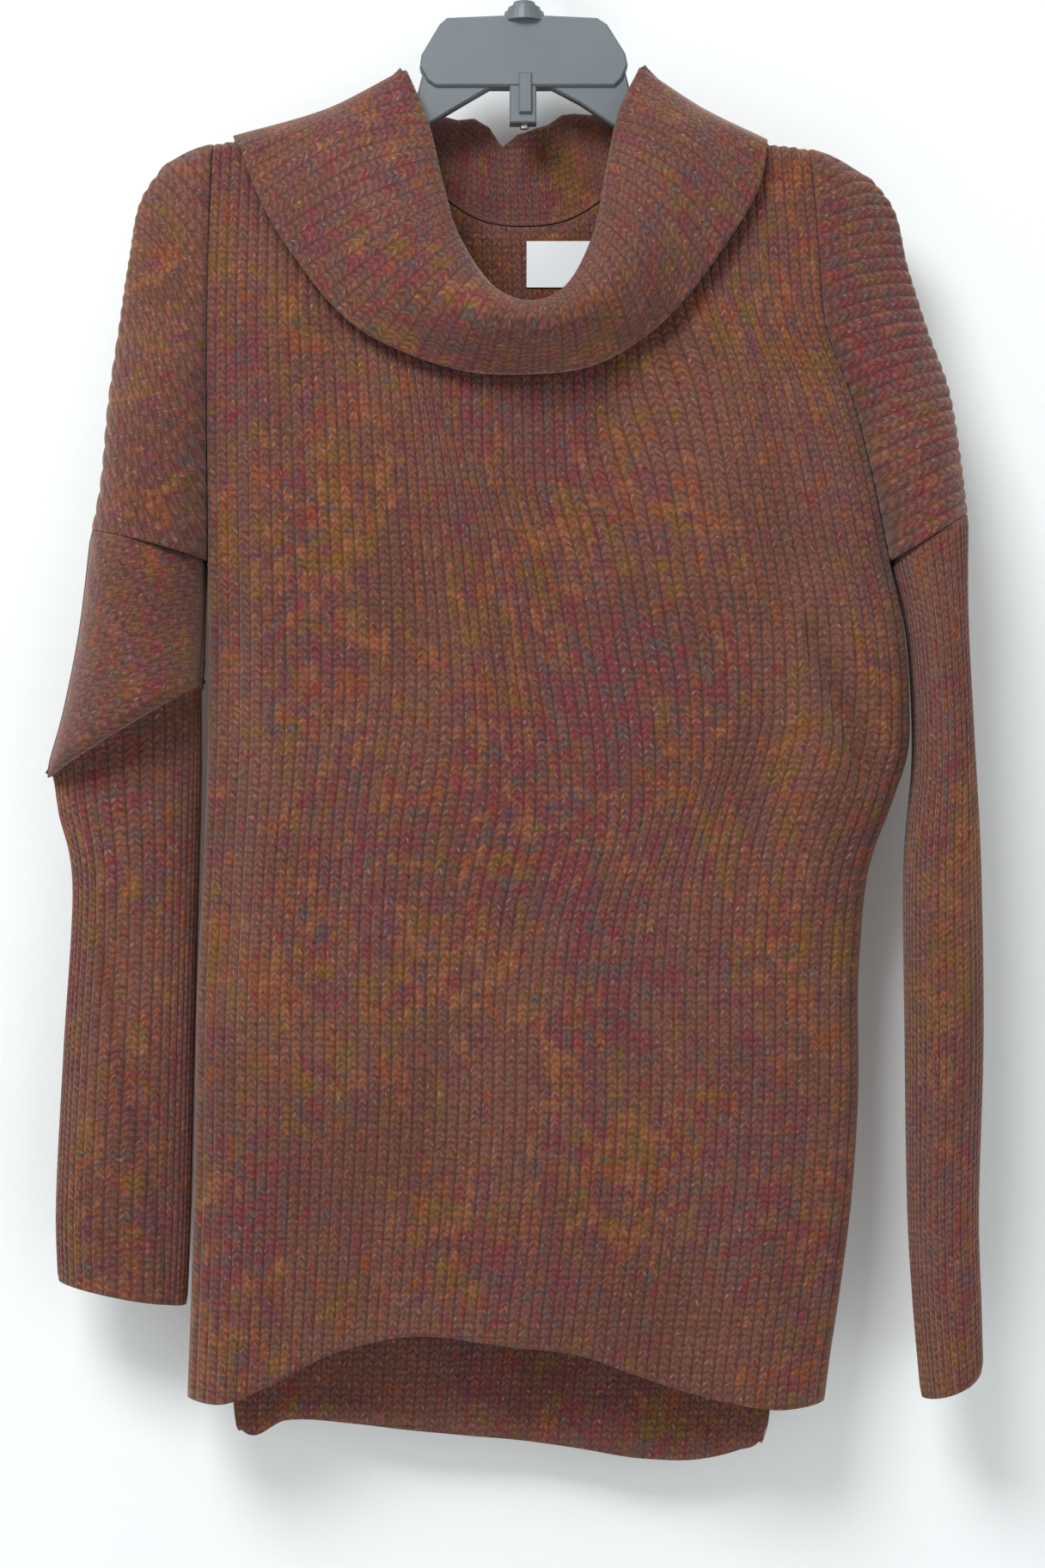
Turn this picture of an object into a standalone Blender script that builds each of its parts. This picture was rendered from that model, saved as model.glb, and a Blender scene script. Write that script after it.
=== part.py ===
# A slouchy rib-knit sweater with a folded funnel collar, hung on a moulded plastic top hanger.
# Metres, +Z up, X across the garment. The front faces -Y. Left and right are the wearer's,
# so the left side is +X. The origin is where the rail touches the inside of the hook.
# Tables are in millimetres.
import math

import bmesh
import bpy
import numpy as np

NAME = "sweater_on_hanger"
MM = 0.001

# Cloth
WALL = 3.0
RIB_HEIGHT = 1.3
HALF_GAP = 0.15
PANEL_RIBS = 60
ARM_RIBS = 22
SLEEVE_RIBS = 40
COLLAR_RIBS = 110
OUTER_PER_INNER = 4
COLLAR_GAP = 0.5
COLLAR_GAP_AT_SHOULDER = 1.5
HAIRPIN_COLUMNS = 8
SLEEVE_CLEARANCE = 3.0
SLEEVE_HALF_WIDTH = 24.0
SLEEVE_HALF_DEPTH = 42.0

# Plastic hanger and its hook
PLATE_HALF_THICK = 7.0
ARM_HALF_THICK = 4.5
POST_HALF_THICK = 6.0
TONGUE_HALF_THICK = 8.5
WIRE_RADIUS = 1.75
CROOK_RADIUS = 17.0
BORE_RADIUS = 2.15
BOSS_TOP = -66.0
POST_FOOT = -139.6

# Neck label
LABEL_LEFT = 1.5
LABEL_WIDTH = 50.0
LABEL_TOP = -206.0
LABEL_HEIGHT = 28.0
LABEL_THICK = 0.6
LABEL_GAP = 0.8

# The front and back meet over the shoulders in this line: across, height
SHOULDER_LINE = np.array([
    (-222.0, -172.0),
    (-216.0, -163.5),
    (-200.0, -156.0),
    (-187.0, -153.0),
    (-161.0, -148.0),
    (-135.0, -141.0),
    (-95.0, -127.0),
    (95.0, -129.5),
    (122.0, -140.5),
    (148.0, -153.0),
    (161.0, -154.2),
    (171.0, -156.0),
    (182.0, -158.5),
    (208.0, -172.0),
    (216.0, -179.0),
])

# Neck seam, front and back: across, height
FRONT_NECK = np.array([
    (-95.0, -127.0),
    (-88.0, -137.0),
    (-78.0, -157.0),
    (-62.0, -200.0),
    (-40.0, -249.0),
    (0.0, -284.0),
    (40.0, -250.0),
    (62.0, -202.0),
    (78.0, -160.0),
    (88.0, -139.0),
    (95.0, -129.5),
])
BACK_NECK = np.array([
    (-95.0, -127.0),
    (-87.0, -136.0),
    (-76.0, -150.0),
    (-60.0, -169.0),
    (-34.0, -190.0),
    (0.0, -197.0),
    (34.0, -190.0),
    (60.0, -170.0),
    (76.0, -152.0),
    (87.0, -138.0),
    (95.0, -129.5),
])

# Hems: across, height. The back is cut longer, with a vent at each side seam.
FRONT_HEM = np.array([
    (-203.0, -907.0),
    (-178.0, -907.0),
    (-157.0, -898.0),
    (-108.0, -874.0),
    (-82.0, -867.0),
    (0.0, -872.0),
    (34.0, -877.0),
    (66.0, -889.0),
    (126.0, -906.0),
    (154.0, -911.0),
    (181.0, -909.0),
])
BACK_HEM = np.array([
    (-203.0, -912.0),
    (-176.0, -938.0),
    (-143.0, -931.0),
    (-72.0, -938.0),
    (0.0, -946.0),
    (73.0, -953.0),
    (107.0, -955.0),
    (134.0, -949.0),
    (160.0, -940.0),
    (181.0, -912.0),
])

# Edges of the body: the deep fold beside the arm, then the side seam: across, height
LEFT_EDGE = np.array([
    (171.0, -156.0),
    (175.0, -205.0),
    (181.0, -269.0),
    (197.0, -307.0),
    (209.0, -351.0),
    (219.0, -400.0),
    (228.0, -441.0),
    (232.0, -487.0),
    (231.0, -520.0),
    (222.0, -548.0),
    (208.5, -585.0),
    (202.0, -640.0),
    (201.0, -730.0),
    (197.0, -790.0),
    (190.0, -845.0),
    (184.0, -885.0),
    (181.0, -909.0),
])
RIGHT_EDGE = np.array([
    (-187.0, -153.0),
    (-189.0, -220.0),
    (-190.0, -300.0),
    (-190.0, -400.0),
    (-190.0, -487.0),
    (-191.0, -538.0),
    (-194.0, -608.0),
    (-196.5, -655.0),
    (-198.5, -773.0),
    (-201.0, -853.0),
    (-203.0, -907.0),
])

# Outer contour of the upper arm, from the shoulder tip to the sleeve seam: across, height
LEFT_ARM = np.array([
    (208.0, -172.0),
    (222.0, -190.0),
    (231.0, -225.0),
    (244.0, -267.0),
    (255.0, -298.0),
    (262.0, -340.0),
    (266.0, -376.0),
])
RIGHT_ARM = np.array([
    (-216.0, -163.5),
    (-231.0, -186.0),
    (-238.0, -220.0),
    (-244.0, -261.0),
    (-250.0, -303.0),
    (-256.0, -365.0),
    (-260.0, -386.0),
])
# Share of a body edge, from its top, where the sleeve seam meets it
UNDERARM = 0.333

# How far the front and back stand off the middle: height, front, back, share left at the edge
BODY_DEPTH = np.array([
    (-120.0, 14.0, 14.0, 1.00),
    (-200.0, 22.0, 23.0, 0.85),
    (-285.0, 34.0, 26.0, 0.45),
    (-360.0, 40.0, 28.0, 0.18),
    (-405.0, 42.0, 30.0, 0.10),
    (-440.0, 43.0, 30.0, 0.00),
    (-560.0, 44.0, 30.0, 0.00),
    (-700.0, 41.0, 29.0, 0.00),
    (-850.0, 35.0, 27.0, 0.00),
    (-955.0, 32.0, 25.0, 0.00),
])
SHOULDER_ROUND = 12.0
EDGE_SHARPNESS = 8.0
TIP_ROUND = 1.0 / 12.0
FOLD_RUN_OUT = 0.25
FOLD_AT_HEAD = 0.35

# Half depth of the upper arm: height, front, back
ARM_DEPTH = np.array([
    (-160.0, 12.0, 12.0),
    (-200.0, 14.0, 14.0),
    (-267.0, 24.0, 20.0),
    (-330.0, 36.0, 32.0),
    (-376.0, 44.0, 40.0),
    (-410.0, 46.0, 42.0),
])

# Long folds of the front: across and height of both ends, width, depth (towards the back)
FRONT_FOLDS = np.array([
    (151.0, -240.0, 150.0, -560.0, 16.0, 7.0),
    (176.0, -455.0, 203.0, -528.0, 12.0, 20.0),
    (-172.0, -300.0, -176.0, -620.0, 12.0, 9.0),
    (-120.0, -420.0, -128.0, -860.0, 24.0, 3.0),
    (-30.0, -520.0, -22.0, -860.0, 26.0, -3.5),
    (62.0, -430.0, 70.0, -880.0, 22.0, 3.5),
    (168.0, -640.0, 162.0, -890.0, 16.0, 5.0),
])
BACK_FOLDS = np.array([
    (150.0, -300.0, 158.0, -640.0, 18.0, -6.0),
    (-150.0, -300.0, -156.0, -620.0, 18.0, -6.0),
    (-60.0, -420.0, -74.0, -900.0, 26.0, -4.0),
    (48.0, -380.0, 60.0, -900.0, 26.0, -4.0),
    (-8.0, -460.0, -4.0, -900.0, 24.0, 3.0),
])

# Sleeve sections below the seam: height at the inside and outside edge, inside and outside
# place across, half depth in front and behind, middle of the depth, and fullest share across
LEFT_SLEEVE = np.array([
    (-450.0, -440.0, 233.5, 265.5, 47.0, 43.0, -1.0, 0.50),
    (-520.0, -512.0, 237.0, 269.0, 48.0, 44.0, -2.0, 0.48),
    (-590.0, -585.0, 231.5, 273.0, 48.0, 44.0, -3.0, 0.48),
    (-690.0, -690.0, 232.0, 274.5, 47.0, 43.0, -3.0, 0.50),
    (-790.0, -790.0, 233.0, 271.5, 45.0, 41.0, -3.0, 0.55),
    (-850.0, -850.0, 236.0, 273.0, 42.0, 38.0, -3.0, 0.60),
    (-908.0, -885.0, 241.0, 274.0, 40.0, 36.0, -3.0, 0.60),
])
RIGHT_SLEEVE = np.array([
    (-440.0, -440.0, -194.0, -266.5, 46.0, 40.0, -2.0, 0.48),
    (-482.0, -498.0, -194.5, -278.0, 48.0, 36.0, -5.0, 0.40),
    (-505.0, -534.0, -195.0, -285.0, 44.0, 30.0, -7.0, 0.40),
    (-530.0, -556.0, -196.5, -280.0, 27.0, 27.0, 0.0, 0.45),
    (-600.0, -600.0, -198.5, -272.0, 25.0, 25.0, 2.0, 0.45),
    (-700.0, -700.0, -201.0, -277.5, 24.0, 24.0, 2.0, 0.50),
    (-790.0, -790.0, -203.0, -282.0, 23.0, 23.0, 2.0, 0.50),
    (-853.0, -838.0, -205.5, -281.0, 22.0, 22.0, 2.0, 0.50),
])

# Collar stations round the neck, from the left side over the front, with the side that lies
# against the sweater. The neck seam gives the first point. Then come the crown of the roll,
# the middle of the fall and the free edge, each with its place across, depth and height.
COLLAR = np.array([
    (0.000, 69.5, 0.0, -105.0, 108.0, -2.0, -129.8, 147.0, -1.0, -148.5),
    (0.025, 68.0, -10.0, -110.0, 104.0, -21.0, -135.5, 145.0, -23.0, -157.0),
    (0.055, 58.0, -20.0, -132.0, 97.0, -38.0, -150.0, 141.0, -29.0, -180.0),
    (0.110, 49.0, -37.0, -172.0, 82.0, -58.0, -194.0, 114.0, -40.0, -227.0),
    (0.165, 40.0, -52.0, -217.0, 60.0, -74.0, -240.0, 78.0, -47.0, -270.0),
    (0.210, 24.0, -60.0, -248.0, 33.0, -84.0, -267.0, 40.0, -48.0, -293.0),
    (0.250, 5.0, -62.0, -258.0, 4.0, -87.0, -275.0, 0.0, -48.0, -298.0),
    (0.290, -16.0, -60.0, -250.0, -26.0, -84.0, -269.0, -40.0, -48.0, -295.0),
    (0.335, -37.0, -50.0, -219.0, -64.0, -73.0, -246.0, -94.0, -46.0, -273.0),
    (0.390, -48.0, -35.0, -183.0, -89.0, -57.0, -204.0, -136.0, -39.0, -227.0),
    (0.445, -59.0, -20.0, -138.0, -108.0, -35.0, -151.0, -161.0, -28.0, -182.0),
    (0.475, -69.5, -10.0, -112.0, -114.0, -21.0, -136.0, -170.0, -23.0, -157.0),
    (0.500, -71.5, 0.0, -107.0, -120.0, 2.0, -130.5, -176.0, 1.0, -146.5),
    (0.525, -70.0, 10.0, -111.0, -112.0, 21.0, -137.0, -168.0, 23.0, -156.0),
    (0.560, -62.0, 20.0, -123.0, -102.0, 36.0, -144.0, -146.0, 30.0, -178.0),
    (0.640, -45.0, 31.0, -129.0, -72.0, 46.0, -153.0, -98.0, 34.0, -196.0),
    (0.710, -22.0, 34.0, -135.0, -33.0, 50.0, -159.0, -43.0, 34.0, -205.0),
    (0.750, -4.0, 35.0, -139.0, -4.0, 51.0, -163.0, -4.0, 34.0, -207.0),
    (0.790, 16.0, 34.0, -134.0, 28.0, 50.0, -159.0, 39.0, 34.0, -205.0),
    (0.860, 41.0, 30.0, -128.0, 66.0, 45.0, -152.0, 90.0, 33.0, -195.0),
    (0.940, 58.0, 19.0, -122.0, 94.0, 35.0, -143.0, 131.0, 30.0, -176.0),
    (0.975, 68.0, 10.0, -109.5, 103.0, 21.0, -136.0, 144.0, 23.0, -157.5),
    (1.000, 69.5, 0.0, -105.0, 108.0, -2.0, -129.8, 147.0, -1.0, -148.5),
])

# Rows of the cloth grids, as shares
PANEL_ROWS = (0.0, 0.006, 0.02, 0.09, 0.2, UNDERARM, 0.5, 0.7, 0.88, 1.0)
ARM_COLUMNS = (0.2, 0.5, 0.8, 1.0)
COLLAR_KEYS = (0.0, 0.3, 0.65, 1.0)
COLLAR_ROWS = (0.0, 0.2, 0.27, 0.34, 0.48, 0.72, 1.0)

# Outline of the hanger's centre plate and of the web with its two arms: across, height
PLATE_OUTLINE = np.array([
    (-53.5, -117.8),
    (-58.5, -114.5),
    (-63.0, -106.5),
    (-62.0, -99.0),
    (-51.0, -80.5),
    (-46.5, -76.6),
    (0.0, -74.6),
    (44.0, -76.6),
    (50.0, -80.5),
    (61.0, -98.0),
    (62.5, -105.0),
    (59.0, -113.5),
    (54.5, -117.8),
])
WEB_OUTLINE = np.array([
    (-61.0, -108.0),
    (61.0, -108.0),
    (65.0, -124.0),
    (85.0, -133.6),
    (98.0, -137.2),
    (122.0, -145.8),
    (148.0, -158.3),
    (161.0, -159.5),
    (182.0, -163.8),
    (200.0, -173.5),
    (205.5, -180.0),
    (204.0, -188.0),
    (196.0, -188.0),
    (145.0, -172.5),
    (98.0, -151.5),
    (72.0, -146.0),
    (53.5, -140.8),
    (34.0, -127.5),
    (15.0, -117.5),
    (-2.5, -115.0),
    (-19.5, -117.5),
    (-39.0, -128.8),
    (-58.5, -140.5),
    (-76.0, -146.0),
    (-98.0, -151.5),
    (-145.0, -172.5),
    (-196.0, -188.0),
    (-204.0, -188.0),
    (-205.5, -180.0),
    (-200.0, -173.5),
    (-182.0, -163.8),
    (-161.0, -159.5),
    (-148.0, -158.3),
    (-122.0, -145.8),
    (-98.0, -137.2),
    (-85.0, -133.6),
    (-65.0, -124.0),
])
# Post under the arch and the tongue on its face: across, height
POST_OUTLINE = np.array([
    (-8.8, -112.0),
    (-8.8, POST_FOOT),
    (7.4, POST_FOOT),
    (7.4, -112.0),
])
TONGUE_OUTLINE = np.array([
    (-3.2, -110.0),
    (-3.2, -134.0),
    (4.6, -134.0),
    (4.6, -110.0),
])
# Stepped boss on top of the plate: radius, drop below its top
BOSS_STEPS = np.array([
    (6.6, 0.0),
    (7.6, 3.0),
    (9.8, 3.2),
    (10.2, 6.0),
    (12.0, 6.2),
    (12.6, 12.0),
])
# Straight part of the hook wire, then its set-back up to the crook: across, height, thickness
HOOK_SHANK = np.array([
    (0.0, POST_FOOT - 2.6, 1.5),
    (0.0, POST_FOOT - 0.5, 1.5),
    (0.0, POST_FOOT - 0.4, 1.0),
    (0.0, -120.0, 1.0),
    (0.0, -95.0, 1.0),
    (0.0, -72.0, 1.0),
    (0.0, -60.0, 1.0),
    (0.6, -53.0, 1.0),
    (4.0, -46.0, 1.0),
    (9.5, -40.0, 1.0),
])
# Angles of the crook, in degrees from the +X side
CROOK_START = -36
CROOK_END = 204
CROOK_STEP = 12


def spline(keys, values, at):
    """Smooth curve through a table of rising keys, read at one or more places."""
    keys = np.asarray(keys, float)
    values = np.asarray(values, float)
    at = np.clip(np.asarray(at, float), keys[0], keys[-1])
    step = np.searchsorted(keys, at, side="right") - 1
    step = np.clip(step, 0, len(keys) - 2)
    slopes = np.gradient(values, keys)
    width = keys[step + 1] - keys[step]
    t = (at - keys[step]) / width
    return ((2 * t**3 - 3 * t**2 + 1) * values[step] + (t**3 - 2 * t**2 + t) * width * slopes[step]
            + (3 * t**2 - 2 * t**3) * values[step + 1] + (t**3 - t**2) * width * slopes[step + 1])


def by_height(table, column, z):
    """Column of a table whose first column is a falling height."""
    return spline(-table[:, 0], table[:, column], -np.asarray(z, float))


def along(points, share):
    """Point of an outline at a share of its length."""
    steps = np.hypot(*np.diff(points, axis=0).T)
    run = np.concatenate([[0.0], np.cumsum(steps)]) / steps.sum()
    return np.array([spline(run, points[:, 0], share), spline(run, points[:, 1], share)])


def top_line(neck, x):
    """Top edge of a panel: shoulder, neck seam, shoulder."""
    if neck[0, 0] < x < neck[-1, 0]:
        return float(spline(neck[:, 0], neck[:, 1], x))
    return float(np.interp(x, SHOULDER_LINE[:, 0], SHOULDER_LINE[:, 1]))


def coons(u, v, top, bottom, left, right):
    """Point inside four edge curves that meet at their corners."""
    edges = (1 - v) * top(u) + v * bottom(u) + (1 - u) * left(v) + u * right(v)
    corners = ((1 - u) * (1 - v) * top(0.0) + u * (1 - v) * top(1.0)
               + (1 - u) * v * bottom(0.0) + u * v * bottom(1.0))
    return edges - corners


def shoulder_rest(x, z):
    """Falls from 1 at the shoulder line to 0 where the cloth hangs clear of the arm bar."""
    drop = float(np.interp(x, SHOULDER_LINE[:, 0], SHOULDER_LINE[:, 1])) - z
    return 1.0 - min(max(drop, 0.0), SHOULDER_ROUND) / SHOULDER_ROUND


def shoulder_round(x, z):
    """Share of the full depth that the cloth has where it rounds over the arm bar."""
    return math.sqrt(1.0 - shoulder_rest(x, z) ** 2)


def fold_depth(folds, x, z):
    """Sum of the long soft folds at one place."""
    depth = 0.0
    for x_top, z_top, x_foot, z_foot, width, amount in folds:
        share = (z_top - z) / (z_top - z_foot)
        if -FOLD_RUN_OUT < share < 1.0 + FOLD_RUN_OUT:
            middle = x_top + (x_foot - x_top) * share
            beyond = max(0.0, abs(share - 0.5) - 0.5)
            fade = math.cos(beyond / FOLD_RUN_OUT * math.pi / 2) ** 2
            fade *= min(1.0, FOLD_AT_HEAD + 1.3 * min(max(share, 0.0), 1.0))
            depth += amount * fade * math.exp(-(((x - middle) / width) ** 2))
    return depth


def lens(w, fullest):
    """Round section of a flattened tube: 0 at both edges, 1 at its fullest share across."""
    w = min(max(w, 0.0), 1.0) ** (math.log(0.5) / math.log(fullest))
    return math.sqrt(max(0.0, 4.0 * w * (1.0 - w)))


class Panel:
    """Front or back of the sweater, with the part that drops over each hanger tip."""

    def __init__(self, side, neck, hem, folds):
        self.side = side
        self.neck = neck
        self.hem = hem
        self.folds = folds
        self.column = 1 if side < 0 else 2

    def top(self, u):
        x = RIGHT_EDGE[0, 0] + (LEFT_EDGE[0, 0] - RIGHT_EDGE[0, 0]) * u
        return np.array([x, top_line(self.neck, x)])

    def bottom(self, u):
        x = RIGHT_EDGE[-1, 0] + (LEFT_EDGE[-1, 0] - RIGHT_EDGE[-1, 0]) * u
        return np.array([x, float(spline(self.hem[:, 0], self.hem[:, 1], x))])

    def edge(self, table, v):
        point = along(table, v)
        foot = self.bottom(0.0 if table is RIGHT_EDGE else 1.0)
        return point + (foot - table[-1]) * v**6

    def body(self, u, v):
        """Outer point of the body: u across from the right edge, v down from the top."""
        x, z = coons(u, v, self.top, self.bottom,
                     lambda s: self.edge(RIGHT_EDGE, s), lambda s: self.edge(LEFT_EDGE, s))
        full = float(by_height(BODY_DEPTH, self.column, z))
        at_edge = max(float(by_height(BODY_DEPTH, 3, z)), 0.0)
        swell = math.sqrt(max(0.0, 1.0 - abs(2 * u - 1) ** EDGE_SHARPNESS))
        depth = full * (at_edge + (1.0 - at_edge) * swell) * shoulder_round(x, z)
        fold = fold_depth(self.folds, x, z) * swell * shoulder_round(x, z)
        return np.array([x, self.side * (depth + HALF_GAP) + fold, z])

    def arm(self, contour, edge_table, w, v):
        """Outer point of the dropped shoulder: w from the deep fold out, v down to the seam."""
        tip = contour[0]
        root = self.edge(edge_table, 0.0)
        under = self.edge(edge_table, UNDERARM)
        x, z = coons(w, v, lambda s: root + (tip - root) * s,
                     lambda s: under + (contour[-1] - under) * s,
                     lambda s: self.edge(edge_table, s * UNDERARM), lambda s: along(contour, s))
        full = float(by_height(BODY_DEPTH, self.column, z))
        at_fold = full * max(float(by_height(BODY_DEPTH, 3, z)), 0.0) * shoulder_round(root[0], z)
        round_off = math.sqrt(1.0 - (1.0 - min(1.0, v / TIP_ROUND)) ** 2)
        swell = float(by_height(ARM_DEPTH, self.column, z)) * lens(w, 0.5) * round_off
        depth = max(at_fold * (1.0 - w**3) * (1.0 - w) ** 0.5, swell + at_fold * (1.0 - w) ** 2)
        return np.array([x, self.side * (depth + HALF_GAP), z])


def normal_of(surface, a, b):
    """Unit normal of a surface point, found from its neighbours."""
    reach = 0.004
    a0, a1 = max(a - reach, 0.0), min(a + reach, 1.0)
    b0, b1 = max(b - reach, 0.0), min(b + reach, 1.0)
    cross = np.cross(surface(a1, b) - surface(a0, b), surface(a, b1) - surface(a, b0))
    return cross / np.linalg.norm(cross)


class Wall:
    """Closed cloth wall built from strips of points, in millimetres."""

    def __init__(self):
        self.points = []
        self.faces = []

    def add(self, points):
        points = np.asarray(points, float)
        first = len(self.points)
        self.points.extend(points.reshape(-1, 3))
        return np.arange(first, len(self.points)).reshape(points.shape[:-1])

    def face(self, *corners):
        self.faces.append([int(corner) for corner in corners])

    def quads(self, grid):
        for row_a, row_b in zip(grid[:-1], grid[1:]):
            for i in range(len(row_a) - 1):
                self.face(row_a[i], row_a[i + 1], row_b[i + 1], row_b[i])

    def ribbon(self, a, a_keys, b, b_keys):
        """Joins two edges whose points lie at different shares along them."""
        i = j = 0
        while i < len(a) - 1 or j < len(b) - 1:
            a_next = a_keys[i] + a_keys[i + 1] if i < len(a) - 1 else math.inf
            b_next = b_keys[j] + b_keys[j + 1] if j < len(b) - 1 else math.inf
            if a_next <= b_next:
                self.face(a[i], a[i + 1], b[j])
                i += 1
            else:
                self.face(a[i], b[j + 1], b[j])
                j += 1

    def build(self, name, material):
        mesh = bpy.data.meshes.new(name)
        mesh.from_pydata([tuple(point * MM) for point in self.points], [], self.faces)
        shape = bmesh.new()
        shape.from_mesh(mesh)
        bmesh.ops.remove_doubles(shape, verts=shape.verts, dist=0.00001)
        bmesh.ops.triangulate(shape, faces=shape.faces)
        bmesh.ops.recalc_face_normals(shape, faces=shape.faces)
        shape.to_mesh(mesh)
        shape.free()
        mesh.shade_smooth()
        return add_object(name, mesh, material)


def add_object(name, mesh, material):
    piece = bpy.data.objects.new(name, mesh)
    mesh.materials.append(material)
    bpy.data.collections[NAME].objects.link(piece)
    return piece


def make_material(name, color, roughness, metallic=0.0):
    material = bpy.data.materials.new(name)
    material.use_nodes = True
    shader = material.node_tree.nodes["Principled BSDF"]
    shader.inputs["Base Color"].default_value = (*color, 1.0)
    shader.inputs["Roughness"].default_value = roughness
    shader.inputs["Metallic"].default_value = metallic
    return material


def unit(vector):
    return vector / np.linalg.norm(vector)


def shoulder_normal(x):
    """Upward normal of the shoulder line, in the plane of the seam."""
    ahead = np.interp(x + 2.0, SHOULDER_LINE[:, 0], SHOULDER_LINE[:, 1])
    behind = np.interp(x - 2.0, SHOULDER_LINE[:, 0], SHOULDER_LINE[:, 1])
    return unit(np.array([behind - ahead, 0.0, 4.0]))


def body_normal(panel, u, v):
    """Outward normal of the body, which lies in the seam's plane along the seams."""
    x, y, z = panel.body(u, v)
    rest = shoulder_rest(x, z)
    if v == 0.0 and not panel.neck[0, 0] < x < panel.neck[-1, 0]:
        return shoulder_normal(x)
    if u in (0.0, 1.0):
        return np.array([0.0, panel.side, 0.0]) if v <= UNDERARM else np.array([2 * u - 1, 0.0, 0.0])
    if rest > 0.0:
        full = float(by_height(BODY_DEPTH, panel.column, z))
        outwards = np.array([0.0, panel.side * math.sqrt(1.0 - rest**2) / full, 0.0])
        return unit(outwards + shoulder_normal(x) * rest / SHOULDER_ROUND)
    normal = normal_of(panel.body, u, v)
    return normal * math.copysign(1.0, normal[1] * panel.side)


def arm_normal(panel, contour, edge_table, w, v):
    """Outward normal of the dropped shoulder, square to the seam it ends in."""
    outwards = math.copysign(1.0, contour[0, 0])
    if v == 0.0:
        return shoulder_normal(panel.arm(contour, edge_table, w, v)[0])
    if w == 1.0:
        run = along(contour, min(v + 0.01, 1.0)) - along(contour, v - 0.01)
        normal = np.array([-run[1] * outwards, 0.0, run[0] * outwards])
    else:
        normal = normal_of(lambda a, b: panel.arm(contour, edge_table, a, b), w, v)
        normal *= math.copysign(1.0, normal[1] * panel.side)
    if v == 1.0:
        under = panel.edge(edge_table, UNDERARM)
        along_seam = unit(np.array([contour[-1, 0] - under[0], 0.0, contour[-1, 1] - under[1]]))
        across = np.array([-along_seam[2], 0.0, along_seam[0]])
        normal = normal - across * normal.dot(across)
    return unit(normal)


def make_panel(name, panel, material):
    """Body wall with its two dropped shoulders, ribs raised on the outside."""
    wall = Wall()
    fine = np.linspace(0.0, 1.0, 2 * PANEL_RIBS + 1)
    coarse = fine[::OUTER_PER_INNER]
    rib = [RIB_HEIGHT * (i % 2) for i in range(len(fine))]
    outside = wall.add([[panel.body(u, v) + body_normal(panel, u, v) * rise
                         for u, rise in zip(fine, rib)] for v in PANEL_ROWS])
    lining_top, inside = (wall.add([[panel.body(u, v) - body_normal(panel, u, v) * WALL
                                     for u in columns] for v in rows])
                          for columns, rows in ((fine, PANEL_ROWS[:1]), (coarse, PANEL_ROWS[1:])))
    lining_top = lining_top[0]
    wall.quads(outside)
    wall.quads(inside)
    wall.quads([outside[0], lining_top])
    wall.ribbon(lining_top, fine, inside[0], coarse)
    wall.ribbon(outside[-1], fine, inside[-1], coarse)
    under = PANEL_ROWS.index(UNDERARM)
    arm_rows = [v / UNDERARM for v in PANEL_ROWS[:under + 1]]
    arm_fine = np.linspace(0.0, 1.0, 2 * ARM_RIBS + 1)
    arm_coarse = arm_fine[::OUTER_PER_INNER]
    for contour, table, column in ((LEFT_ARM, LEFT_EDGE, -1), (RIGHT_ARM, RIGHT_EDGE, 0)):
        inner_edge = [lining_top[column], *inside[:, column]]
        wall.quads([outside[under:, column], inner_edge[under:]])
        over = wall.add([[panel.arm(contour, table, w, v)
                          + arm_normal(panel, contour, table, w, v) * RIB_HEIGHT * (i % 2)
                          for i, v in enumerate(arm_fine)] for w in ARM_COLUMNS])
        lining = wall.add([[panel.arm(contour, table, w, v)
                            - arm_normal(panel, contour, table, w, v) * WALL
                            for v in arm_coarse] for w in ARM_COLUMNS])
        wall.ribbon(over[0], arm_fine, outside[:under + 1, column], arm_rows)
        wall.ribbon(lining[0], arm_coarse, inner_edge[:under + 1], arm_rows)
        wall.quads(over)
        wall.quads(lining)
        wall.ribbon(over[-1], arm_fine, lining[-1], arm_coarse)
        for row, body_row in ((0, 0), (-1, under)):
            wall.quads([[outside[body_row, column], *over[:, row]],
                        [inner_edge[body_row], *lining[:, row]]])
    return wall.build(name, material)


def even_turn(half_width, half_depth, count):
    """Angles round an oval at even steps of its length, from its inside edge."""
    turn = np.linspace(0.0, 2 * math.pi, 721)
    speed = np.hypot(half_width * np.sin(turn), half_depth * np.cos(turn))
    run = np.concatenate([[0.0], np.cumsum((speed[1:] + speed[:-1]) / 2)])
    return np.interp(np.linspace(0.0, run[-1], count, endpoint=False), run, turn)


def sleeve_point(section, turn):
    """Outer point of a sleeve section: the angle runs from the inside edge over the front."""
    z_in, z_out, x_in, x_out, front, back, middle, fullest = section
    w = (1.0 - math.cos(turn)) / 2
    half = front if math.sin(turn) > 0 else back
    depth = half * lens(w, fullest) * math.copysign(1.0, -math.sin(turn))
    return np.array([x_in + (x_out - x_in) * w, middle + depth, z_in + (z_out - z_in) * w])


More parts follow.
